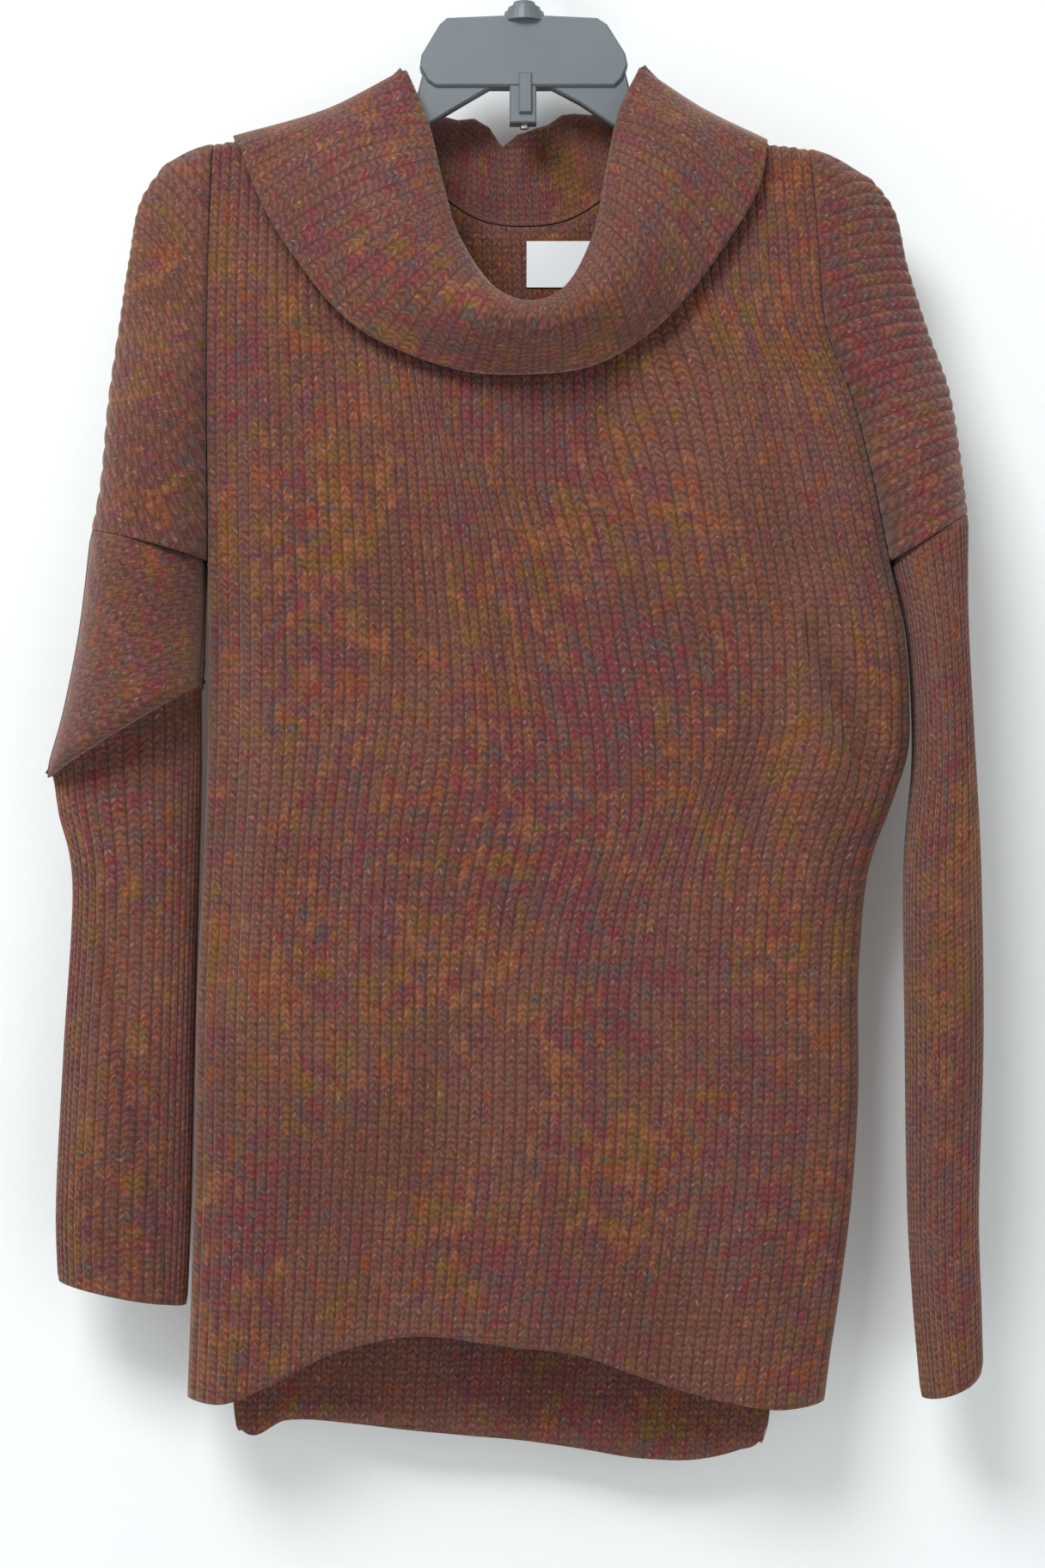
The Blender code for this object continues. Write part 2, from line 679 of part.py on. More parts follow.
def make_sleeve(name, sections, material):
    """Sleeve tube from the shoulder seam to the cuff, ribs raised along it."""
    wall = Wall()
    turns = even_turn(SLEEVE_HALF_WIDTH, SLEEVE_HALF_DEPTH, 2 * SLEEVE_RIBS)
    outside = []
    inside = []
    for row, section in enumerate(sections):
        ring = np.array([sleeve_point(section, turn) for turn in turns])
        seam = unit(np.array([section[3] - section[2], 0.0, section[1] - section[0]]))
        axis = np.array([-seam[2], 0.0, seam[0]])
        run = np.roll(ring, -1, axis=0) - np.roll(ring, 1, axis=0)
        normals = np.cross(run, axis)
        normals /= np.linalg.norm(normals, axis=1)[:, None]
        outward = np.sum(normals * (ring - ring.mean(axis=0)), axis=1).sum()
        normals *= math.copysign(1.0, outward)
        rise = RIB_HEIGHT * (np.arange(len(ring)) % 2)[:, None]
        outside.append(ring + normals * rise)
        inside.append((ring - normals * WALL)[::OUTER_PER_INNER])
    fine = np.arange(len(turns) + 1)
    coarse = fine[::OUTER_PER_INNER]
    outside = wall.add(outside)
    inside = wall.add(inside)
    outside = np.hstack([outside, outside[:, :1]])
    inside = np.hstack([inside, inside[:, :1]])
    wall.quads(outside)
    wall.quads(inside)
    wall.ribbon(outside[0], fine, inside[0], coarse)
    wall.ribbon(outside[-1], fine, inside[-1], coarse)
    return wall.build(name, material)


def seam_section(panel, contour, table):
    """First section of a sleeve, one gap below the edge of the dropped shoulder."""
    under = panel.edge(table, UNDERARM)
    end = contour[-1]
    seam = unit(end - under)
    down = np.array([seam[1], -seam[0]])
    down *= math.copysign(2 * HALF_GAP, -down[1])
    depths = [float(by_height(ARM_DEPTH, column, end[1])) for column in (1, 2)]
    start = under + down + seam * SLEEVE_CLEARANCE
    return (start[1], end[1] + down[1], start[0], end[0] + down[0], *depths, 0.0, 0.5)


def neck_point(front, back, share):
    """Neck seam at a share round the neck: outer point, outward normal, way up from the panel."""
    panel, half = (front, share * 2) if share <= 0.5 else (back, 2 - share * 2)

    def on_seam(at):
        x = along(panel.neck[::-1], min(max(at, 0.0), 1.0))[0]
        u = (x - RIGHT_EDGE[0, 0]) / (LEFT_EDGE[0, 0] - RIGHT_EDGE[0, 0])
        return u, panel.body(u, 0.0)

    u, point = on_seam(half)
    run = on_seam(half + 0.01)[1] - on_seam(half - 0.01)[1]
    normal = body_normal(panel, u, 0.0)
    if half in (0.0, 1.0):
        run = np.array([0.0, 1.0, 0.0])
        normal = shoulder_normal(point[0])
    upwards = unit(np.cross(normal, run))
    inwards = -math.copysign(0.5, point[0]) * upwards[0]
    return point, normal, upwards * math.copysign(1.0, upwards[2] + inwards)


def collar_profile(front, back, share):
    """Side of the collar that lies against the sweater, from the neck seam to its free edge."""
    point, normal, upwards = neck_point(front, back, share)
    stations = [spline(COLLAR[:, 0], COLLAR[:, column], share) for column in range(1, 10)]
    from_shoulder = min(share, abs(share - 0.5), 1.0 - share)
    gap = np.interp(from_shoulder, (0.0, 0.04), (COLLAR_GAP_AT_SHOULDER, COLLAR_GAP))
    foot = point + upwards * gap
    corners = np.array([foot, stations[:3], stations[3:6], stations[6:]])
    return np.array([[spline(COLLAR_KEYS, corners[:, axis], t) for axis in range(3)]
                     for t in COLLAR_ROWS]), normal


def make_collar(front, back, material):
    """Folded funnel collar: the neck opening's side of the stand runs over into the fall."""
    wall = Wall()
    count = 2 * COLLAR_RIBS
    loop = [collar_profile(front, back, i / count) for i in range(count)]
    sheet = np.array([profile for profile, normal in loop]).transpose(1, 0, 2)
    around = np.roll(sheet, -1, axis=1) - np.roll(sheet, 1, axis=1)
    down = np.gradient(sheet, axis=0)
    normals = np.cross(down, around)
    normals /= np.linalg.norm(normals, axis=2)[:, :, None]
    normals *= math.copysign(1.0, normals[-2, :, 2].sum())
    normals[0] = [-normal for profile, normal in loop]
    rise = RIB_HEIGHT * (np.arange(count) % 2)[None, :, None] * np.ones((len(sheet), 1, 1))
    rise[0] = 0.0
    ribbed = wall.add(sheet + normals * (WALL + rise))
    fine = np.arange(count + 1)
    from_shoulder = np.minimum(abs(fine - count / 2), np.minimum(fine, count - fine))
    coarse = fine[(fine % OUTER_PER_INNER == 0) | (from_shoulder < HAIRPIN_COLUMNS)]
    plain = wall.add(sheet[:, coarse[:-1]])
    ribbed = np.hstack([ribbed, ribbed[:, :1]])
    plain = np.hstack([plain, plain[:, :1]])
    wall.quads(ribbed)
    wall.quads(plain)
    wall.ribbon(ribbed[0], fine, plain[0], coarse)
    wall.ribbon(ribbed[-1], fine, plain[-1], coarse)
    return wall.build("collar", material)


def make_label(material):
    """Bare woven label on the inside of the back neck."""
    wall = Wall()
    columns = np.linspace(LABEL_LEFT, LABEL_LEFT + LABEL_WIDTH, 6)
    rows = np.linspace(LABEL_TOP, LABEL_TOP - LABEL_HEIGHT, 4)
    sheets = []
    for lift in (LABEL_GAP, LABEL_GAP + LABEL_THICK):
        sheets.append(wall.add([[(x, float(by_height(BODY_DEPTH, 2, z)) + HALF_GAP
                                  + fold_depth(BACK_FOLDS, x, z) - WALL - lift, z)
                                 for x in columns] for z in rows]))
    for sheet in sheets:
        wall.quads(sheet)
    for end in (0, -1):
        wall.quads([sheets[0][end], sheets[1][end]])
        wall.quads([sheets[0][:, end], sheets[1][:, end]])
    return wall.build("neck_label", material)


def solid_outline(name, outline, half_thick, bevel):
    """Flat outline in the X-Z plane, extruded both ways along Y and eased at its edges."""
    shape = bmesh.new()
    corners = [shape.verts.new((x * MM, -half_thick * MM, z * MM)) for x, z in outline]
    face = shape.faces.new(corners)
    grown = bmesh.ops.extrude_face_region(shape, geom=[face])
    moved = [item for item in grown["geom"] if isinstance(item, bmesh.types.BMVert)]
    bmesh.ops.translate(shape, verts=moved, vec=(0.0, 2 * half_thick * MM, 0.0))
    rims = [edge for edge in shape.edges if abs(edge.verts[0].co.y - edge.verts[1].co.y) < 1e-6]
    bmesh.ops.bevel(shape, geom=rims, offset=bevel * MM, segments=1, affect="EDGES")
    bmesh.ops.recalc_face_normals(shape, faces=shape.faces)
    mesh = bpy.data.meshes.new(name)
    shape.to_mesh(mesh)
    shape.free()
    return bpy.data.objects.new(name, mesh)


def solid_of_revolution(name, profile, segments):
    """Turned solid about Z through the origin: radius, height, from the top down."""
    shape = bmesh.new()
    rings = []
    for radius, z in profile:
        rings.append([shape.verts.new((radius * MM * math.cos(2 * math.pi * i / segments),
                                       radius * MM * math.sin(2 * math.pi * i / segments), z * MM))
                      for i in range(segments)])
    for upper, lower in zip(rings[:-1], rings[1:]):
        for i in range(segments):
            j = (i + 1) % segments
            shape.faces.new((upper[i], lower[i], lower[j], upper[j]))
    shape.faces.new(rings[0])
    shape.faces.new(rings[-1][::-1])
    bmesh.ops.recalc_face_normals(shape, faces=shape.faces)
    mesh = bpy.data.meshes.new(name)
    shape.to_mesh(mesh)
    shape.free()
    return bpy.data.objects.new(name, mesh)


def add_boolean(piece, tool, operation):
    cutters = bpy.data.collections["cutters"]
    cutters.objects.link(tool)
    tool.hide_render = True
    tool.display_type = "WIRE"
    modifier = piece.modifiers.new(f"{operation.lower()} {tool.name}", "BOOLEAN")
    modifier.operation = operation
    modifier.object = tool
    modifier.solver = "EXACT"


def make_hanger(material):
    """One moulding: plate, arched web with its arms, boss on top and post below, bored through."""
    hanger = solid_outline("hanger", PLATE_OUTLINE, PLATE_HALF_THICK, 1.2)
    web = solid_outline("web", WEB_OUTLINE, ARM_HALF_THICK, 1.0)
    post = solid_outline("post", POST_OUTLINE, POST_HALF_THICK, 0.8)
    tongue = solid_outline("tongue", TONGUE_OUTLINE, TONGUE_HALF_THICK, 0.8)
    boss = solid_of_revolution("boss", BOSS_STEPS * (1.0, -1.0) + (0.0, BOSS_TOP), 24)
    hanger.data.materials.append(material)
    bpy.data.collections[NAME].objects.link(hanger)
    for solid in (web, post, tongue, boss):
        add_boolean(hanger, solid, "UNION")
    bore = [(BORE_RADIUS, BOSS_TOP + 2.0), (BORE_RADIUS, POST_FOOT - 2.0)]
    add_boolean(hanger, solid_of_revolution("bore", bore, 16), "DIFFERENCE")
    return hanger


def make_hook(material):
    """Bent wire: peened foot, shank through the moulding, a small set-back, and the crook."""
    radius = CROOK_RADIUS + WIRE_RADIUS
    middle = -CROOK_RADIUS
    route = [tuple(row) for row in HOOK_SHANK]
    for degrees in range(CROOK_START, CROOK_END + 1, CROOK_STEP):
        angle = math.radians(degrees)
        route.append((radius * math.cos(angle), middle + radius * math.sin(angle), 1.0))
    curve = bpy.data.curves.new("hanger_hook", "CURVE")
    curve.dimensions = "3D"
    curve.bevel_depth = WIRE_RADIUS * MM
    curve.bevel_resolution = 2
    curve.use_fill_caps = True
    wire = curve.splines.new("POLY")
    wire.points.add(len(route) - 1)
    for point, (x, z, thickness) in zip(wire.points, route):
        point.co = (x * MM, 0.0, z * MM, 1.0)
        point.radius = thickness
    curve.materials.append(material)
    hook = bpy.data.objects.new("hanger_hook", curve)
    bpy.data.collections[NAME].objects.link(hook)
    return hook


# Start from an empty scene
for stale in list(bpy.data.objects):
    bpy.data.objects.remove(stale)
for collection_name in (NAME, "cutters"):
    bpy.context.scene.collection.children.link(bpy.data.collections.new(collection_name))

knit = make_material("rib_knit", (0.14, 0.062, 0.045), 0.9)
label_tape = make_material("label_tape", (0.86, 0.88, 0.88), 0.7)
plastic = make_material("grey_plastic", (0.15, 0.18, 0.20), 0.45)
steel = make_material("bright_steel", (0.70, 0.70, 0.70), 0.25, 1.0)

front = Panel(-1, FRONT_NECK, FRONT_HEM, FRONT_FOLDS)
back = Panel(1, BACK_NECK, BACK_HEM, BACK_FOLDS)
make_panel("front_panel", front, knit)
make_panel("back_panel", back, knit)
make_sleeve("left_sleeve", [seam_section(front, LEFT_ARM, LEFT_EDGE), *LEFT_SLEEVE], knit)
make_sleeve("right_sleeve", [seam_section(front, RIGHT_ARM, RIGHT_EDGE), *RIGHT_SLEEVE], knit)
make_collar(front, back, knit)
make_label(label_tape)
make_hanger(plastic)
make_hook(steel)
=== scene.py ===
import math

import bmesh
import bpy
import numpy as np
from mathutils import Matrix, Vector


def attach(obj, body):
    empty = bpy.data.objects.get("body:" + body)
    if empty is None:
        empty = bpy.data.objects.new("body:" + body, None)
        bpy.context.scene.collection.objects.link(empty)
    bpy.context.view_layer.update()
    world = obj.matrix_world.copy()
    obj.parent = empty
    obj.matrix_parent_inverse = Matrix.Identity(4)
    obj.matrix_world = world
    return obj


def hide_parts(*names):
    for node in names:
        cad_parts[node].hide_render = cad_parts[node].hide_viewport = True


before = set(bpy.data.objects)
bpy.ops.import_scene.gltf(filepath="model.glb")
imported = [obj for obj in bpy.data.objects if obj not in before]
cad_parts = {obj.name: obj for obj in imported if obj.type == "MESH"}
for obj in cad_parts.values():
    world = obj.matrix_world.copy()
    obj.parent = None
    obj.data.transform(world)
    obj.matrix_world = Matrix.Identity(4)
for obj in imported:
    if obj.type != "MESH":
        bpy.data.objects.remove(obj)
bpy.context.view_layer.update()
MM = 0.001

# Front of the sweater: a chunky rib knit in one piece from sleeve seam to sleeve seam, with a
# short curved hem. It is knitted to shape and linked to the back over the shoulders, and it
# hangs from the hanger's arms with a deep fold beside each arm.
WALL = 3.0
RIB_HEIGHT = 1.5
HALF_GAP = 0.15
COLUMNS_PER_RIB = 8
BODY_RIBS = 60
ARM_ROWS = 241
ARM_COLUMNS = 49
ARM_RIBS = 27.0
LEANING_RIBS_DOWN = 17.0
LEANING_RIBS_ACROSS = 9.0
RIB_WIDTH = 6.5
COURSE = 4.4

# The front and back meet over the shoulders in this line: across, height
SHOULDER_LINE = np.array([
    (-222.0, -172.0),
    (-216.0, -163.5),
    (-200.0, -156.0),
    (-187.0, -153.0),
    (-161.0, -148.0),
    (-135.0, -141.0),
    (-95.0, -127.0),
    (95.0, -129.5),
    (122.0, -140.5),
    (148.0, -153.0),
    (161.0, -154.2),
    (171.0, -156.0),
    (182.0, -158.5),
    (208.0, -172.0),
    (216.0, -179.0),
])
# Neck seam and hem of the front: across, height
FRONT_NECK = np.array([
    (-95.0, -127.0),
    (-88.0, -137.0),
    (-78.0, -157.0),
    (-62.0, -200.0),
    (-40.0, -249.0),
    (0.0, -284.0),
    (40.0, -250.0),
    (62.0, -202.0),
    (78.0, -160.0),
    (88.0, -139.0),
    (95.0, -129.5),
])
FRONT_HEM = np.array([
    (-203.0, -907.0),
    (-178.0, -907.0),
    (-157.0, -898.0),
    (-108.0, -874.0),
    (-82.0, -867.0),
    (0.0, -872.0),
    (34.0, -877.0),
    (66.0, -889.0),
    (126.0, -906.0),
    (154.0, -911.0),
    (181.0, -909.0),
])
# Edges of the body: the deep fold beside the arm, then the side seam: across, height
LEFT_EDGE = np.array([
    (171.0, -156.0),
    (175.0, -205.0),
    (181.0, -269.0),
    (197.0, -307.0),
    (209.0, -351.0),
    (219.0, -400.0),
    (228.0, -441.0),
    (232.0, -487.0),
    (231.0, -520.0),
    (222.0, -548.0),
    (208.5, -585.0),
    (202.0, -640.0),
    (201.0, -730.0),
    (197.0, -790.0),
    (190.0, -845.0),
    (184.0, -885.0),
    (181.0, -909.0),
])
RIGHT_EDGE = np.array([
    (-187.0, -153.0),
    (-189.0, -220.0),
    (-190.0, -300.0),
    (-190.0, -400.0),
    (-190.0, -487.0),
    (-191.0, -538.0),
    (-194.0, -608.0),
    (-196.5, -655.0),
    (-198.5, -773.0),
    (-201.0, -853.0),
    (-203.0, -907.0),
])
# Outer contour of the upper arm, from the shoulder tip to the sleeve seam: across, height
LEFT_ARM = np.array([
    (208.0, -172.0),
    (222.0, -190.0),
    (231.0, -225.0),
    (244.0, -267.0),
    (255.0, -298.0),
    (262.0, -340.0),
    (266.0, -376.0),
])
RIGHT_ARM = np.array([
    (-216.0, -163.5),
    (-231.0, -186.0),
    (-238.0, -220.0),
    (-244.0, -261.0),
    (-250.0, -303.0),
    (-256.0, -365.0),
    (-260.0, -386.0),
])
UNDERARM = 0.333
# How far the front and back stand off the middle, and how much of it is left at the right and
# left edges: height, front, back, right share, left share
BODY_DEPTH = np.array([
    (-120.0, 14.0, 14.0, 1.00, 1.00),
    (-200.0, 22.0, 23.0, 0.85, 0.95),
    (-250.0, 30.0, 25.0, 0.60, 0.80),
    (-285.0, 34.0, 26.0, 0.45, 0.35),
    (-320.0, 37.0, 27.0, 0.30, 0.05),
    (-360.0, 40.0, 28.0, 0.18, 0.00),
    (-405.0, 42.0, 30.0, 0.10, 0.00),
    (-440.0, 43.0, 30.0, 0.00, 0.00),
    (-560.0, 44.0, 30.0, 0.00, 0.00),
    (-700.0, 41.0, 29.0, 0.00, 0.00),
    (-850.0, 35.0, 27.0, 0.00, 0.00),
    (-955.0, 32.0, 25.0, 0.00, 0.00),
])
SHOULDER_ROUND = 12.0
EDGE_SHARPNESS = 8.0
# Half depth of the upper arm: height, front, back
ARM_DEPTH = np.array([
    (-160.0, 12.0, 12.0),
    (-200.0, 14.0, 14.0),
    (-267.0, 24.0, 20.0),
    (-330.0, 36.0, 32.0),
    (-376.0, 44.0, 40.0),
    (-410.0, 46.0, 42.0),
])
# Long soft folds of the front: across and height of both ends, width, depth (towards the back)
FRONT_FOLDS = np.array([
    (151.0, -240.0, 150.0, -560.0, 16.0, 7.0),
    (176.0, -455.0, 203.0, -528.0, 12.0, 20.0),
    (-172.0, -300.0, -176.0, -620.0, 12.0, 9.0),
    (-120.0, -420.0, -128.0, -860.0, 24.0, 3.0),
    (-30.0, -520.0, -22.0, -860.0, 26.0, -3.5),
    (62.0, -430.0, 70.0, -880.0, 22.0, 3.5),
    (168.0, -640.0, 162.0, -890.0, 16.0, 5.0),
])


def spline(keys, values, at):
    """Smooth curve through a table of rising keys, read at many places."""
    keys = np.asarray(keys, float)
    values = np.asarray(values, float)
    at = np.clip(np.asarray(at, float), keys[0], keys[-1])
    step = np.clip(np.searchsorted(keys, at, side="right") - 1, 0, len(keys) - 2)
    slopes = np.gradient(values, keys)
    width = keys[step + 1] - keys[step]
    t = (at - keys[step]) / width
    return ((2 * t**3 - 3 * t**2 + 1) * values[step] + (t**3 - 2 * t**2 + t) * width * slopes[step]
            + (3 * t**2 - 2 * t**3) * values[step + 1] + (t**3 - t**2) * width * slopes[step + 1])


def by_height(table, column, z):
    return spline(-table[:, 0], table[:, column], -np.asarray(z, float))


def along(points, share):
    """Points of an outline at shares of its length."""
    steps = np.hypot(*np.diff(points, axis=0).T)
    run = np.concatenate([[0.0], np.cumsum(steps)]) / steps.sum()
    return np.stack([spline(run, points[:, 0], share), spline(run, points[:, 1], share)], axis=-1)


def smooth(low, high, value):
    """0 below low, 1 above high, with a soft change between them."""
    t = np.clip((np.asarray(value, float) - low) / (high - low), 0.0, 1.0)
    return t * t * (3.0 - 2.0 * t)


def unit(vectors):
    return vectors / np.maximum(np.linalg.norm(vectors, axis=-1), 1e-9)[..., None]


def coons(u, v, top, bottom, left, right):
    """Grid of points inside four edge curves that meet at their corners."""
    zero, one = np.zeros(1), np.ones(1)
    across, down = u[None, :, None], v[:, None, None]
    edges = ((1 - down) * top(u)[None] + down * bottom(u)[None]
             + (1 - across) * left(v)[:, None] + across * right(v)[:, None])
    corners = ((1 - across) * (1 - down) * top(zero)[None] + across * (1 - down) * top(one)[None]
               + (1 - across) * down * bottom(zero)[None] + across * down * bottom(one)[None])
    return edges - corners


def shoulder_rest(x, z):
    """Falls from 1 at the shoulder line to 0 where the cloth hangs clear of the hanger's arm."""
    drop = np.interp(x, SHOULDER_LINE[:, 0], SHOULDER_LINE[:, 1]) - z
    return 1.0 - np.clip(drop, 0.0, SHOULDER_ROUND) / SHOULDER_ROUND


def shoulder_normal(x):
    ahead = np.interp(x + 2.0, SHOULDER_LINE[:, 0], SHOULDER_LINE[:, 1])
    behind = np.interp(x - 2.0, SHOULDER_LINE[:, 0], SHOULDER_LINE[:, 1])
    return unit(np.stack([behind - ahead, np.zeros_like(ahead), np.full_like(ahead, 4.0)], axis=-1))


def fold_depth(folds, x, z):
    """Sum of the long soft folds at every point."""
    depth = np.zeros_like(x)
    for x_top, z_top, x_foot, z_foot, width, amount in folds:
        share = (z_top - z) / (z_top - z_foot)
        middle = x_top + (x_foot - x_top) * share
        beyond = np.clip(np.abs(share - 0.5) - 0.5, 0.0, 0.25)
        fade = np.cos(beyond / 0.25 * math.pi / 2) ** 2
        fade = fade * np.minimum(1.0, 0.35 + 1.3 * np.clip(share, 0.0, 1.0))
        depth += amount * fade * np.exp(-(((x - middle) / width) ** 2))
    return depth


def crease(x, z, line, groove, width, step=0.0, reach=25.0):
    """Depth of a crease along a line: a groove, and a step that fades on its left."""
    line = np.asarray(line, float)
    best = np.full(x.shape, 1e9)
    signed = np.zeros(x.shape)
    place = np.zeros(x.shape)
    count = len(line) - 1
    for index, ((x0, z0), (x1, z1)) in enumerate(zip(line[:-1], line[1:])):
        dx, dz = x1 - x0, z1 - z0
        length = math.hypot(dx, dz)
        share = np.clip(((x - x0) * dx + (z - z0) * dz) / length**2, 0.0, 1.0)
        away = np.hypot(x - x0 - dx * share, z - z0 - dz * share)
        side = np.sign((x - x0) * dz - (z - z0) * dx)
        near = away < best
        best = np.where(near, away, best)
        signed = np.where(near, away * side, signed)
        place = np.where(near, (index + share) / count, place)
    ends = smooth(0.0, 0.18, place) * smooth(0.0, 0.18, 1.0 - place)
    raised = 0.5 * (1.0 - np.tanh(signed / (0.35 * width))) * np.exp(-np.abs(signed) / reach)
    return ends * (groove * np.exp(-((signed / width) ** 2)) - step * raised)


def lens(w, fullest):
    """Round section of a flattened tube: 0 at both edges, 1 at its fullest share across."""
    w = np.clip(w, 0.0, 1.0) ** (math.log(0.5) / np.log(fullest))
    return np.sqrt(np.maximum(0.0, 4.0 * w * (1.0 - w)))


class PanelShape:
    """Front or back of the sweater, with the part that drops over each hanger tip."""

    def __init__(self, side, neck, hem, folds, creases):
        self.side = side
        self.neck = neck
        self.hem = hem
        self.folds = folds
        self.creases = creases
        self.column = 1 if side < 0 else 2

    def top(self, u):
        x = RIGHT_EDGE[0, 0] + (LEFT_EDGE[0, 0] - RIGHT_EDGE[0, 0]) * u
        shoulder = np.interp(x, SHOULDER_LINE[:, 0], SHOULDER_LINE[:, 1])
        inside = (x > self.neck[0, 0]) & (x < self.neck[-1, 0])
        return np.stack([x, np.where(inside, spline(*self.neck.T, x), shoulder)], axis=-1)

    def bottom(self, u):
        x = RIGHT_EDGE[-1, 0] + (LEFT_EDGE[-1, 0] - RIGHT_EDGE[-1, 0]) * u
        return np.stack([x, spline(*self.hem.T, x)], axis=-1)

    def edge(self, table, v):
        foot = self.bottom(np.array([0.0 if table is RIGHT_EDGE else 1.0]))[0]
        return along(table, v) + (foot - table[-1]) * (v**6)[..., None]

    def body(self, u, v):
        place = coons(u, v, self.top, self.bottom,
                      lambda s: self.edge(RIGHT_EDGE, s), lambda s: self.edge(LEFT_EDGE, s))
        x, z = place[..., 0], place[..., 1]
        full = by_height(BODY_DEPTH, self.column, z)
        at_edge = np.where(x < 0.0, by_height(BODY_DEPTH, 3, z), by_height(BODY_DEPTH, 4, z))
        at_edge = np.maximum(at_edge, 0.0)
        swell = np.sqrt(np.maximum(0.0, 1.0 - np.abs(2 * u - 1) ** EDGE_SHARPNESS))[None, :]
        rest = shoulder_rest(x, z)
        rounded = np.sqrt(1.0 - rest**2)
        depth = full * (at_edge + (1.0 - at_edge) * swell) * rounded
        fold = fold_depth(self.folds, x, z)
        for line, groove, width, step, reach in self.creases:
            fold = fold + crease(x, z, line, groove, width, step, reach)
        y = self.side * (depth + HALF_GAP) + fold * swell * rounded
        points = np.stack([x, y, z], axis=-1)
        normals = outward(points, self.side)
        outwards = np.zeros_like(points)
        outwards[..., 1] = self.side * rounded / full
        over_arm = unit(outwards + shoulder_normal(x) * rest[..., None] / SHOULDER_ROUND)
        normals = np.where((rest > 0.0)[..., None], over_arm, normals)
        shoulder = (x[0] <= self.neck[0, 0]) | (x[0] >= self.neck[-1, 0])
        normals[0] = np.where(shoulder[:, None], shoulder_normal(x[0]), normals[0])
        for column, across in ((0, -1.0), (-1, 1.0)):
            normals[:, column] = (across, 0.0, 0.0)
            normals[v <= UNDERARM, column] = (0.0, self.side, 0.0)
        return points, normals

    def arm(self, contour, table, w, v):
        tip = contour[0]
        root, under = self.edge(table, np.array([0.0, UNDERARM]))
        place = coons(w, v, lambda s: root + (tip - root) * s[:, None],
                      lambda s: under + (contour[-1] - under) * s[:, None],
                      lambda s: self.edge(table, s * UNDERARM), lambda s: along(contour, s))
        x, z = place[..., 0], place[..., 1]
        full = by_height(BODY_DEPTH, self.column, z)
        rounded = np.sqrt(1.0 - shoulder_rest(root[0], z) ** 2)
        share = by_height(BODY_DEPTH, 3 if contour[0, 0] < 0.0 else 4, z)
        at_fold = full * np.maximum(share, 0.0) * rounded
        round_off = np.sqrt(1.0 - (1.0 - np.minimum(1.0, v * 12.0)) ** 2)[:, None]
        swell = by_height(ARM_DEPTH, self.column, z) * lens(w, 0.5)[None, :] * round_off
        w = w[None, :]
        depth = np.maximum(at_fold * (1.0 - w**3) * (1.0 - w) ** 0.5, swell + at_fold * (1.0 - w) ** 2)
        fold = np.zeros_like(x)
        for line, groove, width, step, reach in self.creases:
            fold = fold + crease(x, z, line, groove, width, step, reach)
        y = self.side * (depth + HALF_GAP) + fold * lens(w, 0.5)
        points = np.stack([x, y, z], axis=-1)
        normals = outward(points, self.side)
        normals[0] = shoulder_normal(x[0])
        run = np.gradient(points[:, -1], axis=0)
        away = math.copysign(1.0, contour[0, 0])
        edge_normals = np.stack([-run[:, 2] * away, 0 * run[:, 1], run[:, 0] * away], axis=-1)
        normals[:, -1] = unit(edge_normals)
        normals[:, 0] = (0.0, self.side, 0.0)
        seam = unit((contour[-1] - under)[None])[0]
        across = np.array([-seam[1], 0.0, seam[0]])
        normals[-1] = unit(normals[-1] - across * (normals[-1] @ across)[:, None])
        return points, normals


def outward(points, side):
    """Unit normals of a grid, on the side of the body that it covers."""
    normals = unit(np.cross(np.gradient(points, axis=1), np.gradient(points, axis=0)))
    return normals * np.sign(normals[..., 1:2] * side + 1e-9)


def rib_profile(phase):
    """Round rib between two narrow valleys."""
    return np.abs(np.sin(math.pi * phase)) ** 0.6


def run_along(points, axis):
    """Length run along a grid's rows or columns, in millimetres."""
    steps = np.linalg.norm(np.diff(points, axis=axis), axis=-1)
    pad = [(0, 0), (0, 0)]
    pad[axis] = (1, 0)
    return np.cumsum(np.pad(steps, pad), axis=axis)


